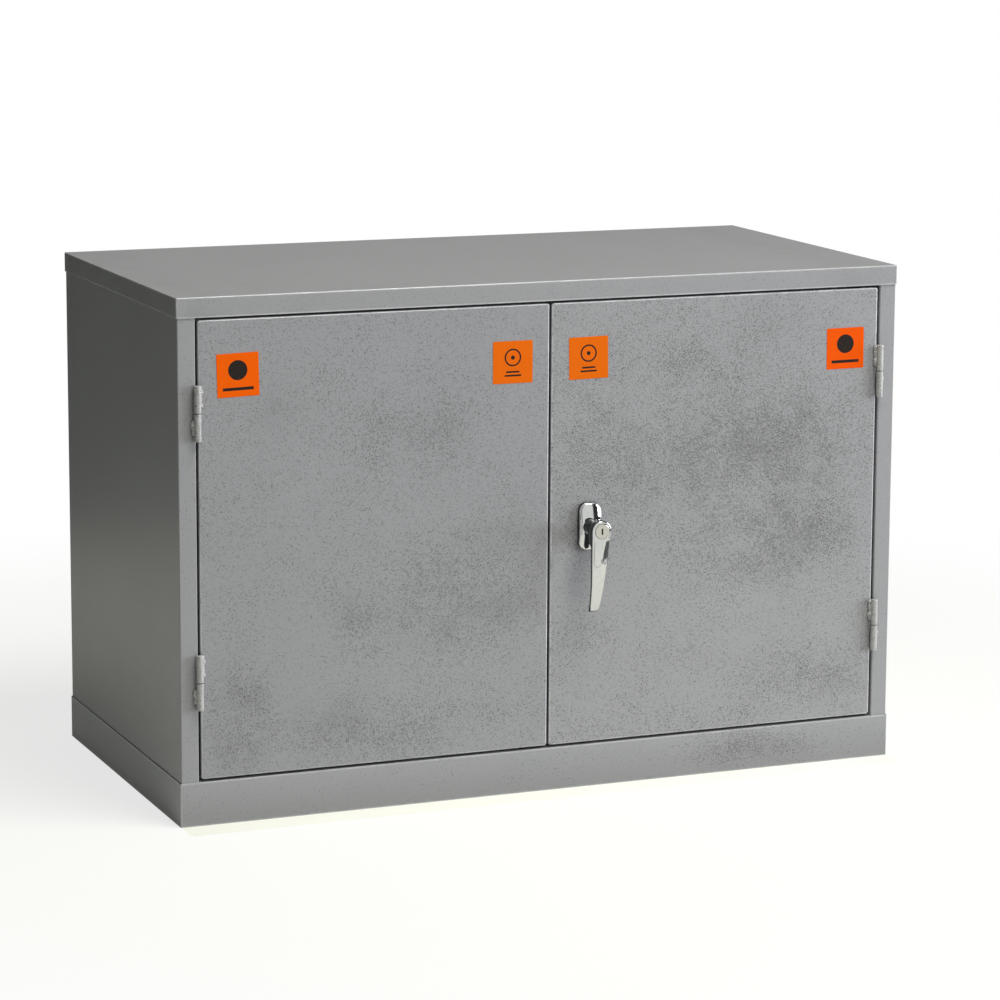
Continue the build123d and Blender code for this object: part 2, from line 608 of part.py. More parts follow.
def lever_profile():
    """The lever seen from the side: thick at the head, thin along the grip, its tip bent to the door."""
    top, tip_z = PIVOT_Z + LEVER_HEAD_R, PIVOT_Z - LEVER_LENGTH
    bend_z = tip_z + LEVER_CURL_LENGTH
    under_z = PIVOT_Z - LEVER_HEAD_R
    tip_y = LEVER_FACE + LEVER_TIP_CURL
    back_y = LEVER_FACE + LEVER_T
    slope = 2 * LEVER_TIP_CURL / LEVER_CURL_LENGTH
    return make_face([
        Line((LEVER_FACE, top), (LEVER_FACE, bend_z)),
        Spline((LEVER_FACE, bend_z), (tip_y, tip_z), tangents=((0, -1), (slope, -1))),
        Line((tip_y, tip_z), (tip_y + LEVER_T, tip_z)),
        Spline((tip_y + LEVER_T, tip_z), (back_y, bend_z), tangents=((-slope, 1), (0, 1))),
        Line((back_y, bend_z), (back_y, under_z - LEVER_HEAD_T / 2)),
        Line((back_y, under_z - LEVER_HEAD_T / 2), (LEVER_NECK_FRONT, under_z)),
        Line((LEVER_NECK_FRONT, under_z), (LEVER_NECK_FRONT, top)),
        Line((LEVER_NECK_FRONT, top), (LEVER_FACE, top)),
    ])


def lever():
    """The chromed lever: a grip that hangs from a round head, a neck and a journal in the boss."""
    front_view = Pos(0, LEVER_FACE - 1, 0) * extrude(Plane.XZ * lever_outline(), -(HANDLE_REACH + 1))
    side_view = extrude(Plane.YZ * lever_profile(), WIDTH, both=True)
    grip = front_view & side_view
    front = grip.faces().filter_by(lambda face: face.normal_at().Y < -0.8)
    grip = fillet(rim_of(front), LEVER_EDGE_R)
    neck_end = BOSS_FRONT - NECK_GAP
    grip += rod_y(LEVER_NECK_R, PIVOT_X, (LEVER_NECK_FRONT - 1, neck_end), PIVOT_Z)
    grip += rod_y(JOURNAL_R, PIVOT_X, (neck_end, FACE - JOURNAL_END_GAP), PIVOT_Z)
    grip -= rod_y(CYLINDER_R + PRESSED, PIVOT_X, (KEY_FACE, KEY_FACE + CYLINDER_DEPTH), PIVOT_Z)
    half = SPINDLE_SIDE / 2
    socket = (FACE - JOURNAL_END_GAP - SPINDLE_GRIP, FACE - JOURNAL_END_GAP)
    return grip - slab((PIVOT_X - half, PIVOT_X + half), socket, (PIVOT_Z - half, PIVOT_Z + half))


def lock_cylinder():
    """The key cylinder's housing, pressed into the lever's head."""
    y = (KEY_FACE, KEY_FACE + CYLINDER_DEPTH)
    housing = rod_y(CYLINDER_R, PIVOT_X, y, PIVOT_Z)
    return housing - rod_y(PLUG_R + PLUG_RUNNING, PIVOT_X, (y[0], y[1] - SHEET), PIVOT_Z)


def key_plug():
    """The part that the key turns, with its keyway upright at rest."""
    y = (KEY_FACE, KEY_FACE + CYLINDER_DEPTH - SHEET - PLUG_RUNNING)
    plug = rod_y(PLUG_R, PIVOT_X, y, PIVOT_Z)
    keyway_y = (KEY_FACE, KEY_FACE + KEYWAY_DEPTH)
    return plug - slab((PIVOT_X - KEYWAY_W / 2, PIVOT_X + KEYWAY_W / 2), keyway_y,
                       (PIVOT_Z - KEYWAY_H / 2, PIVOT_Z + KEYWAY_H / 2))


def spindle():
    """The square bar that carries the lever's turn through the door."""
    half = SPINDLE_SIDE / 2
    y = (FACE - JOURNAL_END_GAP - SPINDLE_GRIP, CRANK_Y + CRANK_T)
    bar = slab((PIVOT_X - half, PIVOT_X + half), y, (PIVOT_Z - half, PIVOT_Z + half))
    return bar - rod_y(CRANK_SCREW_R + PRESSED, PIVOT_X, (y[1] - CRANK_SCREW_BITE, y[1]), PIVOT_Z)


def crank_plate():
    """The plate on the spindle's end, with a pin for each rod."""
    plate = Plane.XZ * Rot(0, 0, -45) * SlotCenterToCenter(2 * CRANK_R, CRANK_W)
    plate = Pos(PIVOT_X, CRANK_Y, PIVOT_Z) * extrude(plate, -CRANK_T)
    for side in (-1, 1):
        pin_y = (CRANK_Y, ROD_Y + ROD_T + CRANK_PIN_PROUD)
        plate += rod_y(CRANK_PIN_R, PIVOT_X + side * PIN_SIDE, pin_y, PIVOT_Z - side * PIN_SIDE)
    half = SPINDLE_SIDE / 2
    return plate - slab((PIVOT_X - half, PIVOT_X + half), (CRANK_Y, CRANK_Y + CRANK_T),
                        (PIVOT_Z - half, PIVOT_Z + half))


def crank_screw():
    """The screw that holds the crank plate on the spindle."""
    end = CRANK_Y + CRANK_T
    shank = rod_y(CRANK_SCREW_R, PIVOT_X, (end - CRANK_SCREW_BITE, end), PIVOT_Z)
    return shank + rod_y(FIX_SCREW_HEAD_R, PIVOT_X, (end, end + FIX_SCREW_HEAD_T), PIVOT_Z)


def lock_rod(side):
    """A flat rod with a yoke that a crank pin runs in. side is 1 for the upper rod, -1 for the lower."""
    x = PIVOT_X + side * ROD_OFFSET
    yoke_z = PIVOT_Z - side * PIN_SIDE
    end = DOOR_Z1 - ROD_SETBACK if side > 0 else DOOR_Z0 + ROD_SETBACK
    y = (ROD_Y, ROD_Y + ROD_T)
    bar = slab((x - ROD_W / 2, x + ROD_W / 2), y, (yoke_z, end))
    tips = edges_at(bar, Z=end, Y=(y[0] + y[1]) / 2)
    bar = chamfer(tips, ROD_W / 4)
    half = YOKE_SLOT_W / 2 + YOKE_WALL
    bar += slab((x - half, x + half), y, (yoke_z - YOKE_H / 2, yoke_z + YOKE_H / 2))
    return bar - slab((x - YOKE_SLOT_W / 2, x + YOKE_SLOT_W / 2), y,
                      (yoke_z - YOKE_SLOT_H / 2, yoke_z + YOKE_SLOT_H / 2))


def rod_guide(side):
    """A hat-shaped strap on the door's skin that keeps a rod straight."""
    x = PIVOT_X + side * ROD_OFFSET
    z = DOOR_Z1 - GUIDE_INSET if side > 0 else DOOR_Z0 + GUIDE_INSET
    half = ROD_W / 2 + ROD_PLAY + GUIDE_SHEET
    up = (SKIN_BACK, ROD_Y + ROD_T + ROD_PLAY + GUIDE_SHEET)
    return hat("z", (x - half, x + half), up, (z - GUIDE_H / 2, z + GUIDE_H / 2), GUIDE_FOOT, GUIDE_SHEET)


# ---- left door's slide bolts --------------------------------------------------------------------
def bolt_places(side):
    """Heights of the housing's far and near end and of the bolt's end. side is 1 up, -1 down."""
    edge = DOOR_Z1 if side > 0 else DOOR_Z0
    near = edge - side * BOLT_HOUSING_INSET
    length = BOLT_THROW + 2 * (BOLT_KNOB_R + BOLT_KNOB_PLAY + GUIDE_SHEET)
    return near - side * length, near, edge - side * ROD_SETBACK


def slide_bolt(side):
    """A round bolt with a finger knob."""
    far, near, end = bolt_places(side)
    start = far - side * GUIDE_SHEET
    y = FACE + BOLT_OFFSET
    bolt = rod_z(BOLT_R, -BOLT_X, y, (start, end))
    bolt = chamfer(edges_at(bolt, Z=end), BOLT_R / 4)
    knob_z = far + side * (GUIDE_SHEET + BOLT_KNOB_PLAY + BOLT_KNOB_R)
    return bolt + rod_y(BOLT_KNOB_R, -BOLT_X, (y, y + BOLT_KNOB_REACH), knob_z)


def bolt_housing(side):
    """A bracket on the door's skin whose two ears hold the bolt."""
    far, near, end = bolt_places(side)
    x = (-BOLT_X - BOLT_HOUSING_W / 2, -BOLT_X + BOLT_HOUSING_W / 2)
    y1 = FACE + BOLT_OFFSET + BOLT_R + BOLT_PLAY + GUIDE_SHEET
    body = slab(x, (SKIN_BACK, SKIN_BACK + GUIDE_SHEET), (far, near))
    for ear in (far, near - side * GUIDE_SHEET):
        body += slab(x, (SKIN_BACK, y1), (ear, ear + side * GUIDE_SHEET))
    return body - rod_z(BOLT_R + BOLT_PLAY, -BOLT_X, FACE + BOLT_OFFSET, (far - side, near + side))


# ---- all nodes ----------------------------------------------------------------------------------
nodes = {
    "top_cap": top_cap(),
    "base_plinth": base_plinth(),
    "side_panel_right": side_panel(),
    "side_panel_left": other_side(side_panel()),
    "back_panel": back_panel(),
    "header_rail": header_rail(),
    "floor_pan": floor_pan(),
    "floor_bearer": floor_bearer(),
    "door_buffers": door_buffers(),
    "shelf_clips": shelf_clips(),
    "shelf_tray": shelf_tray(),
    "shelf_rib": shelf_rib(),
    "left_door_skin": left_door_skin(),
    "right_door_skin": right_door_skin(),
    "left_door_stiffener": other_side(door_stiffener()),
    "right_door_stiffener": door_stiffener(),
    "hinge_pins": hinge_pins(),
    "hinge_washers": hinge_washers(),
    "escutcheon": escutcheon(),
    "escutcheon_screws": escutcheon_screws(),
    "lever": lever(),
    "lock_cylinder": lock_cylinder(),
    "key_plug": key_plug(),
    "spindle": spindle(),
    "crank_plate": crank_plate(),
    "crank_screw": crank_screw(),
    "upper_lock_rod": lock_rod(1),
    "lower_lock_rod": lock_rod(-1),
    "upper_rod_guide": rod_guide(1),
    "lower_rod_guide": rod_guide(-1),
    "upper_slide_bolt": slide_bolt(1),
    "lower_slide_bolt": slide_bolt(-1),
    "upper_bolt_housing": bolt_housing(1),
    "lower_bolt_housing": bolt_housing(-1),
}
for place, strip_y in zip(("front", "rear"), STRIP_YS):
    nodes[f"shelf_strip_{place}_right"] = shelf_strip(strip_y)
    nodes[f"shelf_strip_{place}_left"] = other_side(shelf_strip(strip_y))
for hinge in HINGE_INSET:
    nodes[f"hinge_{hinge}_door_barrel"] = door_barrel(hinge)
    nodes[f"hinge_{hinge}_post_barrel"] = post_barrel(hinge)
for name in LABELS:
    nodes[name] = label(name)

os.makedirs("parts", exist_ok=True)
for name, shape in nodes.items():
    if isinstance(shape, list):
        shape = Compound(children=shape)
    shape.label = name
    export_step(shape, f"parts/{name}.step")
print(len(nodes), "nodes; rod travel", round(ROD_THROW, 3), "mm, ratio", round(ROD_RATIO, 4), "mm/rad")
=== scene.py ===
import json
import math

import bmesh
import bpy
import numpy as np
from mathutils import Matrix, Vector


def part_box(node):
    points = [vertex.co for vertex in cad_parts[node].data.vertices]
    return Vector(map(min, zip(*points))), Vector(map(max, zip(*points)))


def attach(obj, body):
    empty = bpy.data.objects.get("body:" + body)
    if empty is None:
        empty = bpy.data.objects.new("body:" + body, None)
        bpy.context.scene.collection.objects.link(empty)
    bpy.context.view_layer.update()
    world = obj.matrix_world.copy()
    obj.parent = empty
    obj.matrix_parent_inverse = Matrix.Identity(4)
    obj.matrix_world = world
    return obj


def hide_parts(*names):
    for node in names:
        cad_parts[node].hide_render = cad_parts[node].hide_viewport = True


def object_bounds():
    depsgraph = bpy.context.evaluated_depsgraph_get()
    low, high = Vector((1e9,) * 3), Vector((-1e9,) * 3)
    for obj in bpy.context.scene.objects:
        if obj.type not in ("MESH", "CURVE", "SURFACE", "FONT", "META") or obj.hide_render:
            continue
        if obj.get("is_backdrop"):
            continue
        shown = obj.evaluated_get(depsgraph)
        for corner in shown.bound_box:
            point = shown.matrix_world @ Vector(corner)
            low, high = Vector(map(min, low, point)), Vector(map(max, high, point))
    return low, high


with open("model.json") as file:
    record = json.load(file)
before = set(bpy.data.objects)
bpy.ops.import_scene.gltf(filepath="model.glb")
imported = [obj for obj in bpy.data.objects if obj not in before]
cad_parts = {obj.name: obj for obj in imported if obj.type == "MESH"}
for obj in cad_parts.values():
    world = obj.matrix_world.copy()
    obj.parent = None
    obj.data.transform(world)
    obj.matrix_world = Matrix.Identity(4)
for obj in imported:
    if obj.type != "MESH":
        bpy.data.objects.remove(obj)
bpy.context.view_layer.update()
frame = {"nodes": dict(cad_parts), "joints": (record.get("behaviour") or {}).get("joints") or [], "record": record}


# ---- viewpoint ----------------------------------------------------------------------------------
# A long lens some four and a half metres off, left of the front and above the top. Where it stands and
# how it points come from the seven corners of the cupboard that the picture shows.
PICTURE_PX = 1000
FOCAL_PX = 3681.6
CENTRE_PX = (564.5, 457.3)
CAMERA_PLACE = Vector((-1.6694, -4.1391, 1.1562))
CAMERA_RIGHT = Vector((0.91933, -0.39340, 0.00796))
CAMERA_BACK = Vector((-0.38871, -0.90487, 0.17352))

camera = bpy.data.objects.new("camera", bpy.data.cameras.new("camera"))
bpy.context.scene.collection.objects.link(camera)
bpy.context.scene.camera = camera
camera.data.sensor_width = 36.0
camera.data.lens = FOCAL_PX / PICTURE_PX * camera.data.sensor_width
camera.data.shift_x = 0.5 - CENTRE_PX[0] / PICTURE_PX
camera.data.shift_y = CENTRE_PX[1] / PICTURE_PX - 0.5
camera.data.clip_start, camera.data.clip_end = 0.1, 60.0
back = CAMERA_BACK.normalized()
right = (CAMERA_RIGHT - back * CAMERA_RIGHT.dot(back)).normalized()
facing = Matrix((right, back.cross(right), back)).transposed().to_4x4()
camera.matrix_world = Matrix.Translation(CAMERA_PLACE) @ facing


# ---- shader arithmetic --------------------------------------------------------------------------
# Every finish below is worked out as sums on sockets, so one class wraps a socket. A sum on two
# values adds a Math node, and node() adds any other kind of node.
class Value:
    """An output socket of a node tree, with the operators that the finishes use."""

    def __init__(self, tree, socket=None):
        self.tree, self.socket = tree, socket

    def node(self, kind, settings=None, inputs=None, output=0):
        """A new node. Its settings go first, then each input's value or link, by name or by number."""
        fresh = self.tree.nodes.new(kind)
        for name, value in (settings or {}).items():
            setattr(fresh, name, value)
        for name, value in (inputs or {}).items():
            if isinstance(value, Value):
                self.tree.links.new(value.socket, fresh.inputs[name])
            else:
                fresh.inputs[name].default_value = value
        return Value(self.tree, fresh.outputs[output] if len(fresh.outputs) else None)

    def math(self, operation, first, second=0.0):
        return self.node("ShaderNodeMath", {"operation": operation}, {0: first, 1: second})

    def __add__(self, other): return self.math("ADD", self, other)
    def __radd__(self, other): return self.math("ADD", other, self)
    def __sub__(self, other): return self.math("SUBTRACT", self, other)
    def __rsub__(self, other): return self.math("SUBTRACT", other, self)
    def __mul__(self, other): return self.math("MULTIPLY", self, other)
    def __rmul__(self, other): return self.math("MULTIPLY", other, self)
    def __truediv__(self, other): return self.math("DIVIDE", self, other)
    def __abs__(self): return self.math("ABSOLUTE", self)

    def least(self, other): return self.math("MINIMUM", self, other)
    def most(self, other): return self.math("MAXIMUM", self, other)
    def root(self): return self.math("SQRT", self)

    def rise(self, start, end):
        """0 below start and 1 above end, smooth between. A start above its end turns it round."""
        if start > end:
            return 1 - self.rise(end, start)
        inputs = {"Value": self, "From Min": start, "From Max": end}
        return self.node("ShaderNodeMapRange", {"interpolation_type": "SMOOTHSTEP"}, inputs)

    def parts(self):
        """The X, Y and Z of a vector."""
        split = self.tree.nodes.new("ShaderNodeSeparateXYZ")
        self.tree.links.new(self.socket, split.inputs[0])
        return [Value(self.tree, output) for output in split.outputs]

    def place(self, kind="Object"):
        """Texture coordinates, which on a piece are metres in the cupboard's own frame."""
        source = self.tree.nodes.new("ShaderNodeTexCoord")
        return Value(self.tree, source.outputs[kind])

    def noise(self, where, scale, detail=2.0, roughness=0.5, output=0):
        """Soft noise of about 0 to 1, its grain 1/scale metres across."""
        inputs = {"Vector": where, "Scale": scale, "Detail": detail, "Roughness": roughness}
        return self.node("ShaderNodeTexNoise", None, inputs, output)

    def cells(self, where, scale, output="Distance", kind="3D"):
        """Scattered cells, one to every 1/scale metres. Of kind 2D they lie on a vector's X and Y."""
        fresh = self.tree.nodes.new("ShaderNodeTexVoronoi")
        fresh.voronoi_dimensions = kind
        self.tree.links.new(where.socket, fresh.inputs["Vector"])
        fresh.inputs["Scale"].default_value = scale
        return Value(self.tree, fresh.outputs[output])

    def tinted(self, colour, darker):
        """A colour, scaled by a factor that changes over the surface."""
        inputs = {0: (*colour[:3],), "Scale": darker}
        return self.node("ShaderNodeVectorMath", {"operation": "SCALE"}, inputs)

    def mixed(self, factor, first, second):
        """One colour over another."""
        fresh = self.tree.nodes.new("ShaderNodeMix")
        fresh.data_type = "RGBA"
        sockets = (fresh.inputs[0], fresh.inputs[6], fresh.inputs[7])
        for socket, value in zip(sockets, (factor, first, second)):
            if isinstance(value, Value):
                self.tree.links.new(value.socket, socket)
            else:
                socket.default_value = value if isinstance(value, float) else (*value[:3], 1.0)
        return Value(self.tree, fresh.outputs[2])

    def bump(self, height, distance, strength=1.0):
        """A surface normal from a height of 0 to 1, distance metres deep."""
        inputs = {"Height": height, "Distance": distance, "Strength": strength}
        return self.node("ShaderNodeBump", None, inputs)


def empty_tree(owner):
    """An owner's node tree with nothing in it."""
    owner.use_nodes = True
    owner.node_tree.nodes.clear()
    return Value(owner.node_tree)


def finished(name, make):
    """A material whose Principled inputs make(tree) gives as a dictionary."""
    material = bpy.data.materials.new(name)
    tree = empty_tree(material)
    shader = tree.node("ShaderNodeBsdfPrincipled", None, make(tree))
    tree.node("ShaderNodeOutputMaterial", None, {"Surface": shader})
    return material


# ---- studio -------------------------------------------------------------------------------------
# A round white table that fades into white surroundings, a tall soft box and a low one on the right,
# and one overhead. Chrome sees bright and dark parts of the room between them.
TABLE_RADIUS = 1.7
TABLE_FADE = 0.70           # how far out the table starts to turn white
TABLE_GLOW = 0.74           # share of white that the camera sees whatever falls on the table
GLOSSY_GLOW = 0.2           # share of that glow that glossy surfaces mirror
AMBIENT = (0.160, 0.167, 0.146)
WALLS = ((-0.58, 0.52, 0.93), (-1.25, -0.85, 0.85), (1.35, 2.2, 0.80))   # start, end, light
DIM_WALL, CEILING, DARK_ROOM = 0.26, 0.80, 0.035
SOFT_BOXES = {              # place, width, height, watts, colour
    "tall_box": ((4.5, -2.60, 1.45), 1.6, 2.2, 165.0, (0.945, 0.940, 1.0)),
    "low_box": ((4.7, -1.35, 0.52), 0.9, 1.0, 80.0, (0.97, 0.97, 1.0)),
    "overhead_box": ((0.55, -1.45, 3.3), 1.5, 1.5, 106.0, (1.0, 0.985, 0.895)),
}


def span(angle, start, end, blur=0.05):
    """1 where an angle lies between start and end, both in radians."""
    return angle.rise(start - blur, start + blur) * angle.rise(end + blur, end - blur)


def surroundings(tree):
    """White to the camera, a dim even light to the paint, and bright and dark walls to the chrome.

    A wall's place is its angle round the cupboard, 0 at the front and growing to the right.
    """
    across, deep, height = tree.place("Generated").parts()
    angle = tree.math("ARCTAN2", across, 0.0 - deep)
    walls = (angle.rise(2.1, 2.3) * DIM_WALL).most(height.rise(0.62, 0.85) * CEILING)
    for start, end, light in WALLS:
        walls = walls.most(span(angle, start, end) * light)
    shine = DARK_ROOM + walls
    path = tree.tree.nodes.new("ShaderNodeLightPath").outputs
    seen, glossy = Value(tree.tree, path["Is Camera Ray"]), Value(tree.tree, path["Is Glossy Ray"])
    light = tree.mixed(glossy, AMBIENT, tree.tinted((0.985, 1.0, 0.965), shine))
    return tree.mixed(seen, light, (1.0, 1.0, 1.0))


world = bpy.data.worlds.new("studio")
bpy.context.scene.world = world
tree = empty_tree(world)
tree.node("ShaderNodeOutputWorld", None, {"Surface": tree.node("ShaderNodeBackground", None, {
    "Color": surroundings(tree), "Strength": 1.0})})

material = bpy.data.materials.new("table")
tree = empty_tree(material)
matte = tree.node("ShaderNodeBsdfDiffuse", None, {"Color": (0.86, 0.87, 0.82, 1.0)})
glow = tree.node("ShaderNodeEmission", None, {"Color": (1.0, 1.0, 1.0, 1.0), "Strength": 1.0})
across, deep, height = tree.place().parts()
rim = (across * across + deep * deep).root().rise(TABLE_FADE, TABLE_RADIUS - 0.05)
path = tree.tree.nodes.new("ShaderNodeLightPath").outputs
seen = Value(tree.tree, path["Is Camera Ray"]).most(Value(tree.tree, path["Is Glossy Ray"]) * GLOSSY_GLOW)
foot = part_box("base_plinth")[1]            # no glow on the part of the table under the cupboard
covered = (abs(across) / foot.x).most(abs(deep) / foot.y).rise(1.0, 0.995)
white = seen * (TABLE_GLOW + (1 - TABLE_GLOW) * rim) * (1.0 - covered)
table_top = tree.node("ShaderNodeMixShader", None, {0: white, 1: matte, 2: glow})
tree.node("ShaderNodeOutputMaterial", None, {"Surface": table_top})

angle = np.linspace(0, 2 * np.pi, 96, endpoint=False)
points = np.stack([TABLE_RADIUS * np.cos(angle), TABLE_RADIUS * np.sin(angle), 0 * angle], axis=-1)
mesh = bpy.data.meshes.new("table")
mesh.from_pydata(points.tolist(), [], [tuple(range(96))])
mesh.materials.append(material)
table = bpy.data.objects.new("table", mesh)
bpy.context.scene.collection.objects.link(table)
table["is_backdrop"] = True

for name, (place, width, height, watts, colour) in SOFT_BOXES.items():
    lamp = bpy.data.lights.new(name, "AREA")
    lamp.shape, lamp.size, lamp.size_y = "RECTANGLE", width, height
    lamp.energy, lamp.color = watts, colour
    box = bpy.data.objects.new(name, lamp)
    bpy.context.scene.collection.objects.link(box)
    aim = Vector((0.0, 0.0, 0.35)) - Vector(place)
    box.matrix_world = Matrix.Translation(place) @ aim.to_track_quat("-Z", "Y").to_matrix().to_4x4()
bpy.context.scene.view_settings.view_transform = "Standard"


# ---- carcass ------------------------------------------------------------------------------------
# Folded 1.2 mm steel: a cap and a plinth that stand one sheet proud, two sides folded into the front
# posts, a flat back and a rail. Stove-enamelled light grey, thin and even here, with a painted highlight along the
# rims.
PAINT = (0.266, 0.270, 0.290)
INNER_PAINT = (0.31, 0.315, 0.32)
PAINT_ROUGHNESS = 0.40
BODY_OF = {node: body for body, nodes in frame["record"]["behaviour"]["bodies"].items() for node in nodes}
FLECKS = (                  # cells to a metre, size, darkening, how common
    (860.0, 0.60, 0.60, 1.35),
    (520.0, 0.46, 0.58, 0.65),
    (330.0, 0.36, 0.50, 0.22),
)


def patch(place, spot):
    """1 in the middle of an ellipse and 0 outside it. spot is its middle and half axes along X and Z."""
    x, z, wide, tall = spot
    across, deep, height = place.parts()
    far = ((across - x) / wide, (height - z) / tall)
    return (far[0] * far[0] + far[1] * far[1]).root().rise(1.0, 0.0)


def rims(tree, node, width=0.0022):
    """1 along the twelve edges of a node's box, where two of its faces are near, and 0 elsewhere."""
    low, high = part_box(node)
    near = []
    for value, first, last in zip(tree.place().parts(), low, high):
        half = (last - first) / 2
        near.append(abs(value - (first + last) / 2).rise(half - width, half - width * 0.35))
    return (near[0] * near[1]).most(near[1] * near[2]).most(near[0] * near[2])


def enamel(tree, flecks=0.0, dense=(), smudges=(), tint=PAINT, grain=0.10, rim_of=None, rim_highlight=1.3,
           coat=0.35, front=None):
    """Grey enamel with an orange-peel skin.

    flecks is the share of the surface where the coat broke into dark specks, dense the ellipses where
    there are more of them, and smudges the ellipses that are rubbed darker or lighter, each
    with its strength. grain is the depth of the fine mottle under them. Along the edges of the node
    rim_of the colour is lightened by the share that follows rim_of, and the roughness drops: a painted
    highlight along the rounded folds. coat is its gloss. Where front is
    given, flecks and smudges are on the face at that depth alone.
    """
    place = tree.place()
    across, deep, height = place.parts()
    drift = tree.noise(place, 7.0, 3.0)
    mottle = tree.noise(place, 560.0, 2.0, 0.7)
    tone = 1.0 + (drift - 0.5) * 0.07 + (mottle - 0.5) * grain
    relief = tree.noise(place, 240.0, 2.0) * 0.6
    outside = 1.0 if front is None else deep.rise(front + 0.0010, front + 0.0006)
    if flecks:
        flat = tree.node("ShaderNodeCombineXYZ", None, {0: across + deep, 1: height + deep * 0.6})
        wavy = tree.node("ShaderNodeVectorMath", {"operation": "MULTIPLY_ADD"}, {
            0: tree.noise(place, 500.0, 1.0, output=1), 1: (0.0009, 0.0009, 0.0), 2: flat})
        clouds = tree.noise(place, 17.0, 5.0, 0.65).rise(0.34, 0.70)
        share = flecks * (0.42 + 0.95 * clouds)
        for spot, strength in dense:
            share = share + patch(place, spot) * (0.45 + 0.80 * clouds) * strength
        share = share * outside
        for scale, size, depth, rare in FLECKS:
            chance = tree.cells(wavy, scale, "Color", "2D").parts()[0]
            speck = tree.cells(wavy, scale, "Distance", "2D").rise(size, size * 0.4)
            speck = speck * (share * rare - chance).rise(-0.02, 0.05)
            tone = tone * (1.0 - speck * depth)
            relief = relief - speck * 0.5
    for spot, strength in smudges:
        uneven = tree.noise(place, 30.0, 5.0, 0.7).rise(0.30, 0.68)
        tone = tone * (1.0 - patch(place, spot) * uneven * strength * outside)
    roughness = PAINT_ROUGHNESS + (drift - 0.5) * 0.10
    if rim_of:
        # Painted highlight: the colour is lightened along the box's edges, for the light that the rounded folds
        # catch.
        rim_highlight_mask = rims(tree, rim_of) * (0.6 + 0.4 * tree.noise(place, 45.0, 3.0).rise(0.35, 0.6))
        tone = tone * (1.0 + rim_highlight_mask * rim_highlight)
        roughness = roughness - rim_highlight_mask * 0.16
    return {
        "Base Color": tree.tinted(tint, tone),
        "Roughness": roughness,
        "Normal": tree.bump(relief, 0.00012, 0.5),
        "Specular IOR Level": 0.40,
        "Coat Weight": coat,
        "Coat Roughness": 0.22,
    }


def smoothed(node, material, angle=50.0):
    """A copy of a CAD node with its triangles joined, so that bends shade smooth and flats stay flat.

    Edges sharper than angle degrees stay crisp. Each corner's normal is the mean of its faces' normals,
    weighted by their area.
    """
    name = node + "_finish"
    mesh = frame["nodes"][node].data.copy()
    mesh.name = name
    joined = bmesh.new()
    joined.from_mesh(mesh)
    bmesh.ops.remove_doubles(joined, verts=joined.verts, dist=2e-6)
    joined.to_mesh(mesh)
    joined.free()
    mesh.shade_smooth()
    mesh.set_sharp_from_angle(angle=math.radians(angle))
    mesh.materials.clear()
    mesh.materials.append(material)
    piece = bpy.data.objects.new(name, mesh)
    bpy.context.scene.collection.objects.link(piece)
    weighted = piece.modifiers.new("weighted", "WEIGHTED_NORMAL")
    weighted.keep_sharp = True
    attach(piece, BODY_OF[node])
    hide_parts(node)
    return piece


TOP_SMUDGES = [
    ((-0.43, 0.613, 0.06, 0.5), 0.10),
    ((0.40, 0.613, 0.07, 0.5), 0.08),
]
PLINTH_DENSE = [((0.27, 0.030, 0.14, 0.035), 0.40)]
PLINTH_SMUDGES = [((0.27, 0.030, 0.10, 0.030), 0.12)]
case_paint = finished("case_enamel", lambda tree: enamel(tree, flecks=0.03, coat=0.10))
plinth_paint = finished("plinth_enamel", lambda tree: enamel(
    tree, 0.04, PLINTH_DENSE, PLINTH_SMUDGES, rim_of="base_plinth", rim_highlight=0.5))
cap_paint = finished("cap_enamel", lambda tree: enamel(
    tree, 0.03, (), TOP_SMUDGES, rim_of="top_cap", rim_highlight=0.7))
inner_paint = finished("inner_enamel", lambda tree: enamel(tree, tint=INNER_PAINT))
smoothed("top_cap", cap_paint)
smoothed("base_plinth", plinth_paint)
for node in ("side_panel_left", "side_panel_right"):
    smoothed(node, case_paint)
for node in ("back_panel", "header_rail", "floor_pan"):
    smoothed(node, inner_paint, 30.0)


# ---- doors --------------------------------------------------------------------------------------
# Two pans of the same sheet with rounded edges. Their enamel came out speckled, in clouds of dark
# specks that are thickest on the right door, with rubbed patches where hands and trolleys touch.
DOOR_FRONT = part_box("left_door_skin")[0].y
# The left door's enamel is a shade darker than the right's: painted shade for the dimmer light on the left.
LEFT_SHADED_TINT = (0.252, 0.256, 0.278)
RIGHT_DENSE = [
    ((0.262, 0.385, 0.20, 0.17), 0.42),
    ((0.070, 0.400, 0.10, 0.15), 0.30),
    ((0.190, 0.500, 0.20, 0.08), 0.18),
    ((0.345, 0.293, 0.085, 0.060), 0.30),
    ((0.283, 0.253, 0.085, 0.045), 0.20),
    ((0.340, 0.110, 0.13, 0.060), 0.25),
    ((0.200, 0.075, 0.20, 0.030), 0.15),
]
RIGHT_SMUDGES = [
    ((0.105, 0.398, 0.060, 0.060), 0.12),
    ((0.185, 0.350, 0.090, 0.100), 0.07),
    ((0.333, 0.398, 0.080, 0.095), 0.19),
    ((0.345, 0.293, 0.095, 0.060), 0.20),
    ((0.283, 0.253, 0.085, 0.045), 0.10),
    ((0.288, 0.553, 0.070, 0.070), 0.08),
    ((0.403, 0.093, 0.070, 0.050), 0.10),
    ((0.200, 0.215, 0.110, 0.050), -0.06),
]
LEFT_DENSE = [
    ((-0.150, 0.245, 0.21, 0.11), 0.22),
    ((-0.180, 0.450, 0.17, 0.10), 0.16),
    ((-0.377, 0.130, 0.06, 0.11), 0.20),
    ((-0.215, 0.090, 0.20, 0.050), 0.22),
    ((-0.070, 0.110, 0.08, 0.060), 0.10),
]
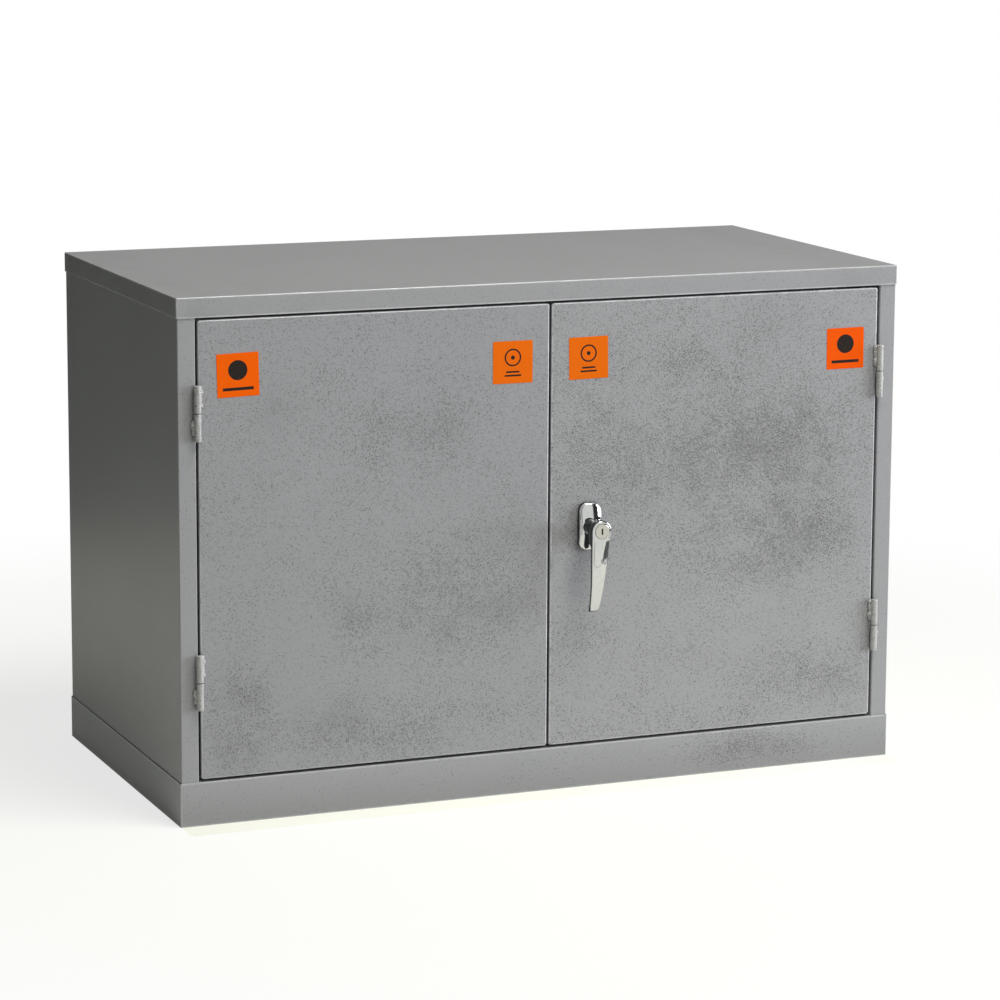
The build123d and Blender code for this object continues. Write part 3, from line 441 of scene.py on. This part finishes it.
LEFT_SMUDGES = [
    ((-0.342, 0.488, 0.045, 0.055), 0.13),
    ((-0.157, 0.443, 0.085, 0.070), 0.10),
    ((-0.242, 0.238, 0.060, 0.040), 0.14),
    ((-0.067, 0.236, 0.070, 0.045), 0.20),
    ((-0.057, 0.323, 0.080, 0.065), 0.12),
    ((-0.385, 0.120, 0.055, 0.110), 0.22),
    ((-0.267, 0.108, 0.100, 0.060), 0.16),
    ((-0.150, 0.220, 0.120, 0.055), 0.09),
    ((-0.310, 0.400, 0.100, 0.080), -0.05),
]
left_paint = finished("left_door_enamel", lambda tree: enamel(
    tree, 0.11, LEFT_DENSE, LEFT_SMUDGES, LEFT_SHADED_TINT, 0.34, "left_door_skin", front=DOOR_FRONT))
right_paint = finished("right_door_enamel", lambda tree: enamel(
    tree, 0.15, RIGHT_DENSE, RIGHT_SMUDGES, PAINT, 0.34, "right_door_skin", front=DOOR_FRONT))
smoothed("left_door_skin", left_paint)
smoothed("right_door_skin", right_paint)
for node in ("left_door_stiffener", "right_door_stiffener"):
    smoothed(node, inner_paint, 10.0)


# ---- hinges -------------------------------------------------------------------------------------
# Weld-on barrel hinges, painted over: a turned half welded to the door and one welded to the post,
# at heights set by eye, each held by a row of overlapping weld drops.
BARREL_SLACK = 0.0004       # how much less the bar's radius is here than the solid's
BARREL_ROUNDING = 0.0007
BARREL_LENGTH = 0.0316      # of one half
BEAD_RADIUS = 0.0026
BEAD_RIPPLE = 0.22
BEAD_STEP = 0.0031
DOOR_BEAD_LENGTH = 0.026
POST_BEAD_LENGTH = 0.018
AROUND = 40


def stack(*bodies):
    """Points and faces of closed bodies, each an array of rings: sides of quads and a cap at each end."""
    points, faces, first = [], [], 0
    for rings in bodies:
        count, around, _ = rings.shape
        index = first + np.arange(count * around).reshape(count, around)
        following = np.roll(index, -1, axis=1)
        quads = np.stack([index[:-1], following[:-1], following[1:], index[1:]], axis=-1)
        faces += quads.reshape(-1, 4).tolist() + [index[0, ::-1].tolist(), index[-1].tolist()]
        points.append(rings.reshape(-1, 3))
        first += count * around
    return np.concatenate(points), faces


def made(name, bodies, material, body, nodes=(), angle=35.0):
    """A new piece from closed bodies of rings, riding on a CAD body and standing for CAD nodes."""
    points, faces = stack(*bodies)
    mesh = bpy.data.meshes.new(name)
    mesh.from_pydata(points.tolist(), [], faces)
    outward = bmesh.new()
    outward.from_mesh(mesh)
    bmesh.ops.remove_doubles(outward, verts=outward.verts, dist=2e-6)
    bmesh.ops.recalc_face_normals(outward, faces=outward.faces)
    outward.to_mesh(mesh)
    outward.free()
    mesh.shade_smooth()
    mesh.set_sharp_from_angle(angle=math.radians(angle))
    mesh.materials.append(material)
    piece = bpy.data.objects.new(name, mesh)
    bpy.context.scene.collection.objects.link(piece)
    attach(piece, body)
    if nodes:
        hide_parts(*nodes)
    return piece


def turned(profile, middle, axis="z", around=AROUND):
    """A turned solid: each (radius, height) of the profile makes a circle about the axis."""
    radius, height = np.array(profile).T
    angle = np.linspace(0, 2 * np.pi, around, endpoint=False)
    flat_a, flat_b = np.outer(radius, np.cos(angle)), np.outer(radius, np.sin(angle))
    along = np.broadcast_to(height[:, None], flat_a.shape)
    order = {"z": (flat_a, flat_b, along), "y": (flat_a, along, flat_b)}[axis]
    return np.stack(order, axis=-1) + np.array(middle)


def rounded_rod(radius, low, high, rounding):
    """Profile of a bar whose two rims are rounded by a quarter circle."""
    bend = np.linspace(0, np.pi / 2, 5)
    rim = radius - rounding + rounding * np.sin(bend)
    foot = [(r, low + rounding - rounding * math.cos(b)) for r, b in zip(rim, bend)]
    head = [(r, high - rounding + rounding * math.cos(b)) for r, b in zip(rim[::-1], bend[::-1])]
    return foot + head


def weld(x, wall_y, low, high, seed):
    """A weld bead up a wall: a round bar whose radius swells once a drop, cut flush with the wall.

    At height z above its foot the radius is BEAD_RADIUS times 0.84 + BEAD_RIPPLE |sin(pi z / BEAD_STEP)|,
    slower waves make the drops uneven and let the bead wander, and its ends close like half a ball.
    """
    drops = max(int((high - low) / BEAD_STEP), 2)
    z = np.linspace(low, high, drops * 9 + 1)
    end = np.clip(np.minimum(z - low, high - z) / BEAD_RADIUS, 0.0, 1.0)
    closing = np.sqrt(np.clip(1 - (1 - end) ** 2, 0.02, 1.0))
    turns = (z - low) / BEAD_STEP
    uneven = 0.14 * np.sin(2.3 * turns + seed) + 0.10 * np.sin(0.9 * turns + 2 * seed)
    radius = BEAD_RADIUS * closing * (0.84 + BEAD_RIPPLE * np.abs(np.sin(np.pi * turns)) + uneven)
    wander = 0.0005 * np.sin(1.3 * turns + seed)
    angle = np.linspace(0, 2 * np.pi, 24, endpoint=False)
    px = x + wander[:, None] + np.outer(radius, np.cos(angle))
    py = np.minimum(wall_y - 0.55 * BEAD_RADIUS + np.outer(radius, np.sin(angle)), wall_y)
    return np.stack([px, py, np.broadcast_to(z[:, None], px.shape)], axis=-1)


def lumpy(rings, seed):
    """Rings of a bar, pushed in and out by a tenth of a millimetre where the enamel ran thick and thin."""
    around = rings.shape[1]
    turn = np.linspace(0, 2 * np.pi, around, endpoint=False)
    height = rings[:, :1, 2] / 0.0035
    run = np.sin(3 * turn + 1.7 * height + seed) * np.sin(height * 1.1 - 2 * turn)
    run = run + np.sin(5 * turn - 0.8 * height)
    middle = rings.mean(axis=1, keepdims=True)
    return middle + (rings - middle) * (1 + 0.013 * run[:, :, None])


def bar_profile(radius, low, high, rounding):
    """Profile of a bar with rounded rims, with a ring every 1.5 mm."""
    rims = rounded_rod(radius, low, high, rounding)
    between = [(radius, z) for z in np.linspace(low + rounding, high - rounding, 22)[1:-1]]
    return rims[:5] + between + rims[5:]


def thick_lightened_enamel(tree):
    """The same enamel, flooded on over weld and bar: lumpier and glossier, and lighter in colour as painted light
    for the bright sheen that the barrels catch.
    """
    inputs = enamel(tree, flecks=0.10, tint=(0.36, 0.362, 0.372), grain=0.5)
    place = tree.place()
    lumps = tree.noise(place, 330.0, 3.0, 0.6)
    inputs["Normal"] = tree.bump(lumps, 0.0011, 0.9)
    inputs["Roughness"] = 0.30 + lumps * 0.12
    return inputs


hinge_paint = finished("hinge_enamel", thick_lightened_enamel)
for side, hand in ((-1, "left"), (1, "right")):
    joint = next(joint for joint in frame["joints"] if joint["name"] == f"{hand}_door_hinge")
    hinge_x, hinge_y = joint["pos_m"][:2]
    for level in ("upper", "lower"):
        for half_name, way in (("door", -side), ("post", side)):
            node = f"hinge_{level}_{hand}_{half_name}_barrel"
            low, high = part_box(node)
            radius = hinge_y - low.y - BARREL_SLACK
            top = low.z + BARREL_LENGTH
            bar = turned(bar_profile(radius, low.z, top, BARREL_ROUNDING), (hinge_x, hinge_y, 0))
            if half_name == "door":
                reach = (top - DOOR_BEAD_LENGTH, top)
            else:
                middle = (low.z + top) / 2
                reach = (middle - POST_BEAD_LENGTH / 2, middle + POST_BEAD_LENGTH / 2)
            bead = weld(hinge_x + way * radius, DOOR_FRONT, *reach, seed=side + top * 40)
            made(node + "_finish", [lumpy(bar, hinge_x * 9 + top), bead], hinge_paint,
                 BODY_OF[node], [node])


# ---- labels -------------------------------------------------------------------------------------
# Square stickers of orange vinyl, stuck on by hand a little out of true. The outer two are a brighter
# batch with a solid mark, the inner two a duller one with a fine mark.
LABEL_SIDE = 0.050
LABEL_CORNER = 0.0012
LABELS = {
    "left_outer_label": ((0.78, 0.104, 0.001), 1.4, True),
    "right_outer_label": ((0.715, 0.080, 0.001), 0.4, True),
    "left_inner_label": ((0.68, 0.122, 0.003), 0.0, False),
    "right_inner_label": ((0.67, 0.122, 0.003), 0.7, False),
}


def vinyl(tree, colour, middle, tilt, bold):
    """Vinyl with a printed mark: a disc and a bar where bold, or else a ring, a dot and two short bars."""
    settings = {"vector_type": "TEXTURE"}
    where = tree.node("ShaderNodeMapping", settings, {
        "Vector": tree.place(), "Location": middle, "Rotation": (0.0, math.radians(tilt), 0.0)})
    across, deep, height = where.parts()

    def bar(low, high, half_width):
        inside = ((abs(height - (low + high) / 2)) / ((high - low) / 2)).most(abs(across) / half_width)
        return inside.rise(1.02, 0.97)

    from_middle = (across * across + (height - 0.0055) * (height - 0.0055)).root()
    if bold:
        ink = from_middle.rise(0.0116, 0.0113).most(bar(-0.0178, -0.0142, 0.0185))
    else:
        ring = abs(from_middle - 0.0095).rise(0.0011, 0.0008).most(from_middle.rise(0.0026, 0.0023))
        ink = ring.most(bar(-0.0125, -0.0104, 0.0085)).most(bar(-0.0168, -0.0147, 0.0105))
    worn = tree.noise(tree.place(), 900.0, 2.0).rise(0.30, 0.38)
    return {
        "Base Color": tree.mixed(ink * (0.90 + 0.10 * worn), colour, (0.018, 0.016, 0.015)),
        "Roughness": 0.46 + tree.noise(tree.place(), 60.0) * 0.08,
        "Specular IOR Level": 0.05,
        "Normal": tree.bump(tree.noise(tree.place(), 180.0), 0.0001, 0.25),
    }


def sticker(middle, tilt, thickness):
    """A square plate with rounded corners, turned by tilt degrees, its rim eased on the front."""
    angle = np.linspace(0, 2 * np.pi, 64, endpoint=False) + np.pi / 64
    straight = LABEL_SIDE / 2 - LABEL_CORNER
    x = np.sign(np.cos(angle)) * straight + LABEL_CORNER * np.cos(angle)
    z = np.sign(np.sin(angle)) * straight + LABEL_CORNER * np.sin(angle)
    turn = math.radians(tilt)
    x, z = x * math.cos(turn) + z * math.sin(turn), z * math.cos(turn) - x * math.sin(turn)
    rings = []
    for depth, scale in ((0.0, 1.0), (0.7, 1.0), (1.0, 0.997)):
        rings.append(np.stack([x * scale, np.full(64, -depth * thickness), z * scale], axis=-1))
    return np.stack(rings) + np.array((middle.x, DOOR_FRONT, middle.z))


for node, (colour, tilt, bold) in LABELS.items():
    low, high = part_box(node)
    middle = (low + high) / 2
    material = finished(node + "_vinyl", lambda tree: vinyl(tree, colour, tuple(middle), -tilt, bold))
    plate = sticker(middle, -tilt, high.y - low.y)
    made(node + "_finish", [plate], material, BODY_OF[node], [node])


# ---- lever handle -------------------------------------------------------------------------------
# A die-cast zinc lever and base, polished and chromed. The lever hangs from a round head that holds
# the key cylinder, and its tip curls to the door. The base is a soft-edged oblong with a bearing boss.
lever_joint = next(joint for joint in frame["joints"] if joint["name"] == "lever_turn")
PIVOT_X, PIVOT_Z = lever_joint["pos_m"][0], lever_joint["pos_m"][2]
lever_low, lever_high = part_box("lever")
HEAD_R = lever_high.z - PIVOT_Z
LEVER_LENGTH = PIVOT_Z - lever_low.z
LEVER_FRONT = lever_low.y
LEVER_TAPER = math.radians(7.7)
HEAD_T = 0.012
BLADE_T = 0.0052
LEVER_CURL = 0.0058
CURL_LENGTH = 0.044
LEVER_EDGE = 0.0016
TIP_CORNERS = (0.0025, 0.005)
TIP_SPAN = 0.0075                     # height of the tip that both corners lie in
NECK_R = 0.009
TONGUE = ((0.0, 0.0), (-0.0050, -0.0375), 0.0090, 0.0050)     # its two ends and their half widths
TONGUE_STEP = 0.00040
GROOVE_DEPTH = 0.0021
CYLINDER_RIM = 0.00885                # radius of the joint round the key cylinder's face
CYLINDER_BORE = (0.0081, 0.0095)      # radius and depth of the hole that holds the key cylinder
BASE_HALF = (0.0143, 0.0285)
BASE_CORNER = 0.010
BASE_STEP = 0.0009                    # length of an edge on the outline's straight sides
BASE_LEAN = 0.0006                    # how far the leaning sides come in
BASE_FLANK = 0.0038                   # height of the leaning sides
BASE_HEIGHTS = (0.0072, 0.011)
BASE_CROWN = 0.0032                   # how far the front falls from its middle to its long edges
BASE_SHOULDER = (0.0036, 0.0022)      # how far the rounded edge reaches in, and down
BOSS_R = 0.010
BOSS_FRONT = DOOR_FRONT - 0.018
BOSS_ROOT = DOOR_FRONT - 0.0085
BOSS_FLARE = (0.0025, 0.0030)
BOSS_ROUNDING = 0.0008


def chrome(tree, edge, far=0.0, length=1.0, base=0.0, tongue_line_shade=0.0):
    """Polished chrome plate, a little hazy where hands rub it, and behind its front rougher and darkened almost to
    black, a painted shade on the sides and parts near the door.

    The front ends at the depth edge, which falls back by far times the square of the way down the last
    length metres above the height base. A dark joint runs round the key cylinder, and where the last
    argument is 1 a dark line is drawn along the step round the tongue, painted shade in its crease.
    """
    place = tree.place()
    haze = tree.noise(place, 90.0, 4.0, 0.6).rise(0.45, 0.75)
    across, deep, height = place.parts()
    low = (base + length - height).most(0.0) / length
    # Painted shade: behind the front the plate is darkened almost to black.
    shaded_behind = (deep - low * low * far).rise(edge - 0.0003, edge + 0.0003)
    across, height = across - PIVOT_X, height - PIVOT_Z
    from_pivot = (across * across + height * height).root()
    joint = abs(from_pivot - CYLINDER_RIM).rise(0.00032, 0.00012)
    joint = joint * deep.rise(LEVER_FRONT + 0.0006, LEVER_FRONT + 0.0004)
    plate = tree.mixed(haze, (0.605, 0.608, 0.612), (0.545, 0.548, 0.552))
    plate = tree.mixed(shaded_behind, plate, (0.10, 0.105, 0.11))
    (_, _), (end_x, end_z), top_half, end_half = TONGUE
    along = (height / end_z).most(0.0).least(1.0)
    across = across - along * end_x
    beyond = (end_z - height).most(0.0)
    off = (across * across + beyond * beyond).root() - (top_half + along * (end_half - top_half))
    # Painted shade: a dark line along the step round the tongue.
    outline = abs(off).rise(0.00030, 0.00008) * (end_z * 0.3 - height).rise(-0.001, 0.003) * tongue_line_shade
    joint = joint.most(outline * 0.85)
    return {
        "Base Color": tree.mixed(joint, plate, (0.05, 0.05, 0.045)),
        "Metallic": 1.0,
        "Roughness": 0.075 + haze * 0.07 + joint * 0.4 + shaded_behind * 0.12,
        "Normal": tree.bump(tree.noise(place, 140.0, 2.0), 0.00008, 0.30),
    }


def to_spine(outline, spine, sides, fronts):
    """A closed solid from an outline: rings of it drawn in towards a spine.

    outline and spine are arrays of X and Z, point for point. sides gives (inset, depth) pairs in metres
    for the rings from the back to the rim, inset along the line to the spine. fronts is a function that
    gives the front's Y from the drawn-in X and Z and from how far in they lie, in metres. It gives back
    rings of points, and the last of them lies on the spine.
    """
    inward = spine - outline
    reach = np.linalg.norm(inward, axis=1, keepdims=True)
    rings = []
    for inset, depth in sides:
        flat = outline + inward / reach * np.minimum(inset, reach)
        rings.append(np.stack([flat[:, 0], np.full(len(flat), depth), flat[:, 1]], axis=-1))
    for share in np.linspace(0, 1, 34):
        flat = outline + inward * share
        front = fronts(flat[:, 0], flat[:, 1], share * reach[:, 0])
        rings.append(np.stack([flat[:, 0], front, flat[:, 1]], axis=-1))
    return rings


def quarter_round(inset, radius):
    """How far the surface lies under its crest, from 1 at the rim to 0, on a quarter ellipse."""
    short = np.clip(1 - inset / radius, 0, 1)
    return 1 - np.sqrt(1 - short ** 2)


def lever_body():
    """The lever: its outline drawn in to a spine, on the front and on the back.

    The outline is the head's circle, a plumb left edge, a tip with two round corners, and a right edge
    that leans in by the taper and is tangent to the head. Front and back move to the door by the square
    of the way along the curl, and a quarter round of LEVER_EDGE takes off both rims, a larger one the
    front's at the tip, where the blade is thicker. On the front the tongue stands up by a small step, a
    groove beside it falls to the right and comes back, and the head is bored for the key cylinder.
    """
    lean = math.tan(LEVER_TAPER)
    tip = -LEVER_LENGTH
    small, large = TIP_CORNERS

    def right_x(z):
        circle = np.sqrt(np.clip(HEAD_R ** 2 - z ** 2, 0, None))
        edge = HEAD_R / math.cos(LEVER_TAPER) + z * lean
        return np.where(z > -HEAD_R * math.sin(LEVER_TAPER), circle, edge)

    arc = np.linspace(np.pi, 0, 91)[1:-1]
    head = np.stack([HEAD_R * np.cos(arc), HEAD_R * np.sin(arc)], axis=-1)
    down = np.linspace(0, tip + TIP_SPAN, 110)
    right_side = np.stack([right_x(down), down], axis=-1)
    left_side = np.stack([np.full(down.size, -HEAD_R), down], axis=-1)[::-1]
    corner_x = right_x(tip) - large * (1 - math.sin(LEVER_TAPER)) / math.cos(LEVER_TAPER)
    turn = np.linspace(-LEVER_TAPER, -np.pi / 2, 14)
    right_corner = large * np.stack([np.cos(turn), np.sin(turn)], axis=-1) + (corner_x, tip + large)
    foot_x = np.linspace(corner_x, -HEAD_R + small, 10)[1:-1]
    foot = np.stack([foot_x, np.full(foot_x.size, tip)], axis=-1)
    turn = np.linspace(-np.pi / 2, -np.pi, 10)
    left_corner = small + small * np.stack([np.cos(turn), np.sin(turn)], axis=-1) + (-HEAD_R, tip)
    outline = np.concatenate([head, right_side, right_corner, foot, left_corner, left_side])
    spine_z = np.clip(outline[:, 1], tip + TIP_SPAN, 0.0)
    spine_x = (right_x(spine_z) - HEAD_R) / 2 * np.clip(-spine_z / 0.020, 0, 1)
    spine = np.stack([spine_x, spine_z], axis=-1)

    def curl(z):
        return LEVER_CURL * (np.clip(CURL_LENGTH - (z - tip), 0, None) / CURL_LENGTH) ** 2

    def front(x, z, inset):
        (top_x, top_z), (end_x, end_z), top_half, end_half = TONGUE
        along = np.clip((top_z - z) / (top_z - end_z), 0, 1)
        middle, half = top_x + (end_x - top_x) * along, top_half + (end_half - top_half) * along
        beyond = np.clip(end_z - z, 0, None) + np.clip(z - top_z, 0, None)
        off = np.sqrt((x - middle) ** 2 + beyond ** 2) - half
        step = TONGUE_STEP / (1 + np.exp(-off / 0.00016))
        window = np.clip((-z - 0.0105) / 0.0035, 0, 1) * np.clip((z + 0.0400) / 0.018, 0, 1)
        window = window * window * (3 - 2 * window)
        across = np.clip((x - middle - half + 0.0030) / 0.0048, 0, 1)
        groove = GROOVE_DEPTH * window * across ** 1.4 * (1 - np.clip((off - 0.0032) / 0.0035, 0, 1) ** 2)
        crown = 0.00045 * (1 - np.clip(inset / 0.008, 0, 1)) ** 2
        eased = LEVER_EDGE + 0.0032 * np.clip(1 - (z - tip) / 0.0065, 0, 1)
        bore = CYLINDER_BORE[1] * (np.hypot(x, z) < CYLINDER_BORE[0])
        return curl(z) + step + groove + crown + bore + eased * quarter_round(inset, eased)

    def back(x, z, inset):
        neck = np.clip((z + HEAD_R + 0.008) / 0.008, 0, 1)
        thick = BLADE_T + (HEAD_T - BLADE_T) * neck * neck * (3 - 2 * neck)
        thick = thick + 0.0014 * np.clip(1 - (z - tip) / 0.012, 0, 1) ** 2
        return curl(z) + thick - LEVER_EDGE * quarter_round(inset, LEVER_EDGE)

    rings = np.stack(to_spine(outline, spine, [], back)[::-1] + to_spine(outline, spine, [], front))
    return rings + np.array((PIVOT_X, LEVER_FRONT, PIVOT_Z))


def base_body():
    """The handle's base: an oblong drawn in to its spine, like a flat pebble on leaning sides.

    With x and z from its middle and s the share of the way from the boss to an end, its front stands
    h1 - (h1 - h0) s^1.3 - BASE_CROWN (x / half width)^2 off the door, h0 and h1 being BASE_HEIGHTS. A
    quarter ellipse as wide and as deep as BASE_SHOULDER rounds the rim.
    """
    turn = np.linspace(0, 2 * np.pi, 161)[:-1] + np.pi / 160
    straight = (BASE_HALF[0] - BASE_CORNER, BASE_HALF[1] - BASE_CORNER)
    outline = np.stack([np.sign(np.cos(turn)) * straight[0] + BASE_CORNER * np.cos(turn),
                        np.sign(np.sin(turn)) * straight[1] + BASE_CORNER * np.sin(turn)], axis=-1)
    fine = []
    for first, last in zip(outline, np.roll(outline, -1, axis=0)):
        count = max(int(np.linalg.norm(last - first) / BASE_STEP), 1)
        fine.append(first + (last - first) * np.arange(count)[:, None] / count)
    outline = np.concatenate(fine)
    spine = np.stack([0 * outline[:, 0], np.clip(outline[:, 1], BASE_HALF[0] - BASE_HALF[1],
                                                 BASE_HALF[1] - BASE_HALF[0])], axis=-1)

    def crest(x, z):
        slope = np.clip((np.abs(z) - BOSS_R) / (BASE_HALF[1] - BOSS_R), 0, 1)
        ridge = BASE_HEIGHTS[1] - (BASE_HEIGHTS[1] - BASE_HEIGHTS[0]) * slope ** 1.3
        return ridge - BASE_CROWN * (x / BASE_HALF[0]) ** 2

    wide, deep = BASE_SHOULDER
    flank = [(rise * BASE_LEAN, -rise * BASE_FLANK) for rise in (0.0, 0.5, 1.0)]

    def front(x, z, inset):
        return -np.maximum(crest(x, z) - deep * quarter_round(inset, wide), BASE_FLANK)

    rings = to_spine(outline, spine, flank, front)
    return np.stack(rings) + np.array((PIVOT_X, DOOR_FRONT, PIVOT_Z))


def boss_body():
    """The bearing boss: a turned post that flares into the base and has an eased rim."""
    flare = np.linspace(0, np.pi / 2, 7)
    wide, deep = BOSS_FLARE
    profile = [(BOSS_R + wide * (1 - math.sin(f)), BOSS_ROOT - deep * (1 - math.cos(f))) for f in flare]
    for turn in np.linspace(0, np.pi / 2, 5):
        inset, back = BOSS_ROUNDING * (1 - math.cos(turn)), BOSS_ROUNDING * (1 - math.sin(turn))
        profile.append((BOSS_R - inset, BOSS_FRONT + back))
    return turned(profile, (PIVOT_X, 0, PIVOT_Z), "y", 64)


def neck_body():
    """The lever's neck, from inside the head to the boss, waisted by half a millimetre."""
    ends = (LEVER_FRONT + HEAD_T * 0.8, BOSS_FRONT - 0.0004)
    share = np.linspace(0, 1, 9)
    radius = NECK_R - 0.0005 * np.sin(np.pi * share)
    depth = ends[0] + (ends[1] - ends[0]) * share
    return turned(list(zip(radius, depth)), (PIVOT_X, 0, PIVOT_Z), "y", 64)


lever_chrome = finished("lever_chrome", lambda tree: chrome(
    tree, LEVER_FRONT + LEVER_EDGE * 0.7, LEVER_CURL, CURL_LENGTH, PIVOT_Z - LEVER_LENGTH, 1.0))
base_chrome = finished("base_chrome", lambda tree: chrome(tree, DOOR_FRONT - BASE_FLANK - 0.0004))
# The neck and boss are darkened all over, painted shade.
dull_chrome = finished("dull_chrome", lambda tree: chrome(tree, DOOR_FRONT - 1.0))    # all of it dull
made("lever_finish", [lever_body()], lever_chrome, "lever_assembly", ["lever"], 75.0)
made("lever_neck", [neck_body()], dull_chrome, "lever_assembly", [], 60.0)
made("escutcheon_finish", [base_body()], base_chrome, "right_door", ["escutcheon"], 60.0)
made("escutcheon_boss", [boss_body()], dull_chrome, "right_door", [], 60.0)


# ---- key cylinder -------------------------------------------------------------------------------
# A brass cylinder and plug, nickelled to a satin sheen, with the upright keyway cut into the plug.
# Both keep the solids' own shape.
def nickel(tree):
    """Satin nickel with fine turning marks, and the keyway darkened to near black as painted shade down in it."""
    place = tree.place()
    across, deep, height = place.parts()
    turn = ((across - PIVOT_X) * (across - PIVOT_X) + (height - PIVOT_Z) * (height - PIVOT_Z)).root()
    marks = tree.math("SINE", turn * 9000.0) * 0.5 + 0.5
    # Painted shade: deeper than the lever's front the plug turns near black and matte.
    keyway_shade = deep.rise(LEVER_FRONT - 0.0003, LEVER_FRONT + 0.0001)
    return {
        "Base Color": tree.mixed(keyway_shade, (0.58, 0.572, 0.520), (0.02, 0.019, 0.017)),
        "Metallic": 1.0 - keyway_shade,
        "Roughness": 0.26 + tree.noise(place, 300.0) * 0.10 + keyway_shade * 0.4,
        "Normal": tree.bump(marks, 0.000006, 0.4),
    }


cylinder_nickel = finished("cylinder_nickel", nickel)
smoothed("lock_cylinder", cylinder_nickel, 25.0)
smoothed("key_plug", cylinder_nickel, 25.0)


# ---- lock works and bolts -----------------------------------------------------------------------
# Zinc-plated steel: crank, rods and guides of the lock, slide bolts and their housings, screws, and the
# hinges' pins and washers. The bolts and washers are darkened, painted shade for where they sit in gaps and holes.
def zinc(tree, shade=1.0):
    """Zinc plate: a faint mottle and a drawn grain along the height. shade scales its colour down, as painted
    shade.
    """
    place = tree.place()
    mottle = tree.cells(place, 160.0, "Color").parts()[0]
    drawn = tree.noise(tree.node("ShaderNodeVectorMath", {"operation": "MULTIPLY"}, {
        0: place, 1: (1.0, 1.0, 0.05)}), 1400.0, 2.0)
    return {
        "Base Color": tree.tinted((0.60, 0.60, 0.575), (0.90 + mottle * 0.10 + drawn * 0.10) * shade),
        "Metallic": 1.0,
        "Roughness": 0.30 + mottle * 0.10,
        "Normal": tree.bump(drawn, 0.00006, 0.4),
    }


zinc_plate = finished("zinc_plate", zinc)
greased_zinc = finished("greased_zinc", lambda tree: zinc(tree, 0.22))
for node in (
    "escutcheon_screws", "spindle", "crank_plate", "crank_screw", "upper_lock_rod", "lower_lock_rod",
    "upper_rod_guide", "lower_rod_guide", "upper_bolt_housing", "lower_bolt_housing", "hinge_pins",
):
    smoothed(node, zinc_plate, 35.0)
for node in ("upper_slide_bolt", "lower_slide_bolt", "hinge_washers"):
    smoothed(node, greased_zinc, 35.0)


# ---- shelf and floor fittings -------------------------------------------------------------------
# Galvanised strips, clips and floor channel with a visible spangle, and the dished shelf in the same
# enamel as the inside, scuffed by bottles.
def galvanised(tree):
    """Hot-dip zinc: flat crystals about a centimetre across that catch the light differently."""
    place = tree.place()
    warped = tree.node("ShaderNodeVectorMath", {"operation": "MULTIPLY_ADD"}, {
        0: tree.noise(place, 60.0, 2.0, output=1), 1: (0.012, 0.012, 0.012), 2: place})
    crystal = tree.cells(warped, 95.0, "Color").parts()[0]
    return {
        "Base Color": tree.tinted((0.56, 0.57, 0.57), 0.82 + crystal * 0.30),
        "Metallic": 1.0,
        "Roughness": 0.34 + crystal * 0.16,
        "Normal": tree.bump(crystal, 0.00008, 0.3),
    }


def scuffed(tree):
    """The inside enamel with long faint scuffs from sliding bottles."""
    inputs = enamel(tree, tint=INNER_PAINT)
    stretched = tree.node("ShaderNodeVectorMath", {"operation": "MULTIPLY"}, {
        0: tree.place(), 1: (0.6, 0.07, 1.0)})
    scuffs = tree.noise(stretched, 260.0, 3.0, 0.6).rise(0.60, 0.74)
    inputs["Roughness"] = 0.38 + scuffs * 0.22
    inputs["Base Color"] = tree.mixed(scuffs * 0.22, inputs["Base Color"], (0.42, 0.42, 0.42))
    return inputs


galvanised_steel = finished("galvanised_steel", galvanised)
shelf_paint = finished("shelf_enamel", scuffed)
for node in ("floor_bearer", "shelf_clips", "shelf_strip_front_left", "shelf_strip_front_right",
             "shelf_strip_rear_left", "shelf_strip_rear_right"):
    smoothed(node, galvanised_steel)
for node in ("shelf_tray", "shelf_rib"):
    smoothed(node, shelf_paint)


# ---- door buffers -------------------------------------------------------------------------------
# Four black rubber buttons glued to the rail and the floor's upstand, domed where the door meets them.
# Their rim falls away as the root of a cosine, which leaves a flat crown.
BUTTON_R = 0.006
BUTTON_DOME = 0.0012


def rubber(tree):
    """Moulded black rubber, dusty and slightly pitted."""
    place = tree.place()
    dust = tree.noise(place, 260.0, 4.0, 0.65).rise(0.48, 0.72)
    return {
        "Base Color": tree.mixed(dust * 0.5, (0.018, 0.018, 0.019), (0.07, 0.068, 0.063)),
        "Roughness": 0.70 + dust * 0.15,
        "Normal": tree.bump(tree.noise(place, 1500.0, 2.0), 0.0001, 0.4),
    }


low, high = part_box("door_buffers")
buttons = []
for x in (low.x + BUTTON_R, high.x - BUTTON_R):
    for z in (low.z + BUTTON_R, high.z - BUTTON_R):
        dome = np.linspace(0, np.pi / 2, 7)
        profile = [(BUTTON_R, high.y), (BUTTON_R, low.y + BUTTON_DOME)]
        rim = [(math.cos(d) ** 0.5, 1 - math.sin(d)) for d in dome[1:-1]]
        profile += [(BUTTON_R * wide, low.y + BUTTON_DOME * deep) for wide, deep in rim]
        profile += [(BUTTON_R * 0.08, low.y)]
        buttons.append(turned(profile, (x, 0, z), "y", 32))
made("door_buffers_finish", buttons, finished("buffer_rubber", rubber), "carcass",
     ["door_buffers"], 50.0)


# Each holds its low corner and its high one, in metres.
low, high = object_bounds()
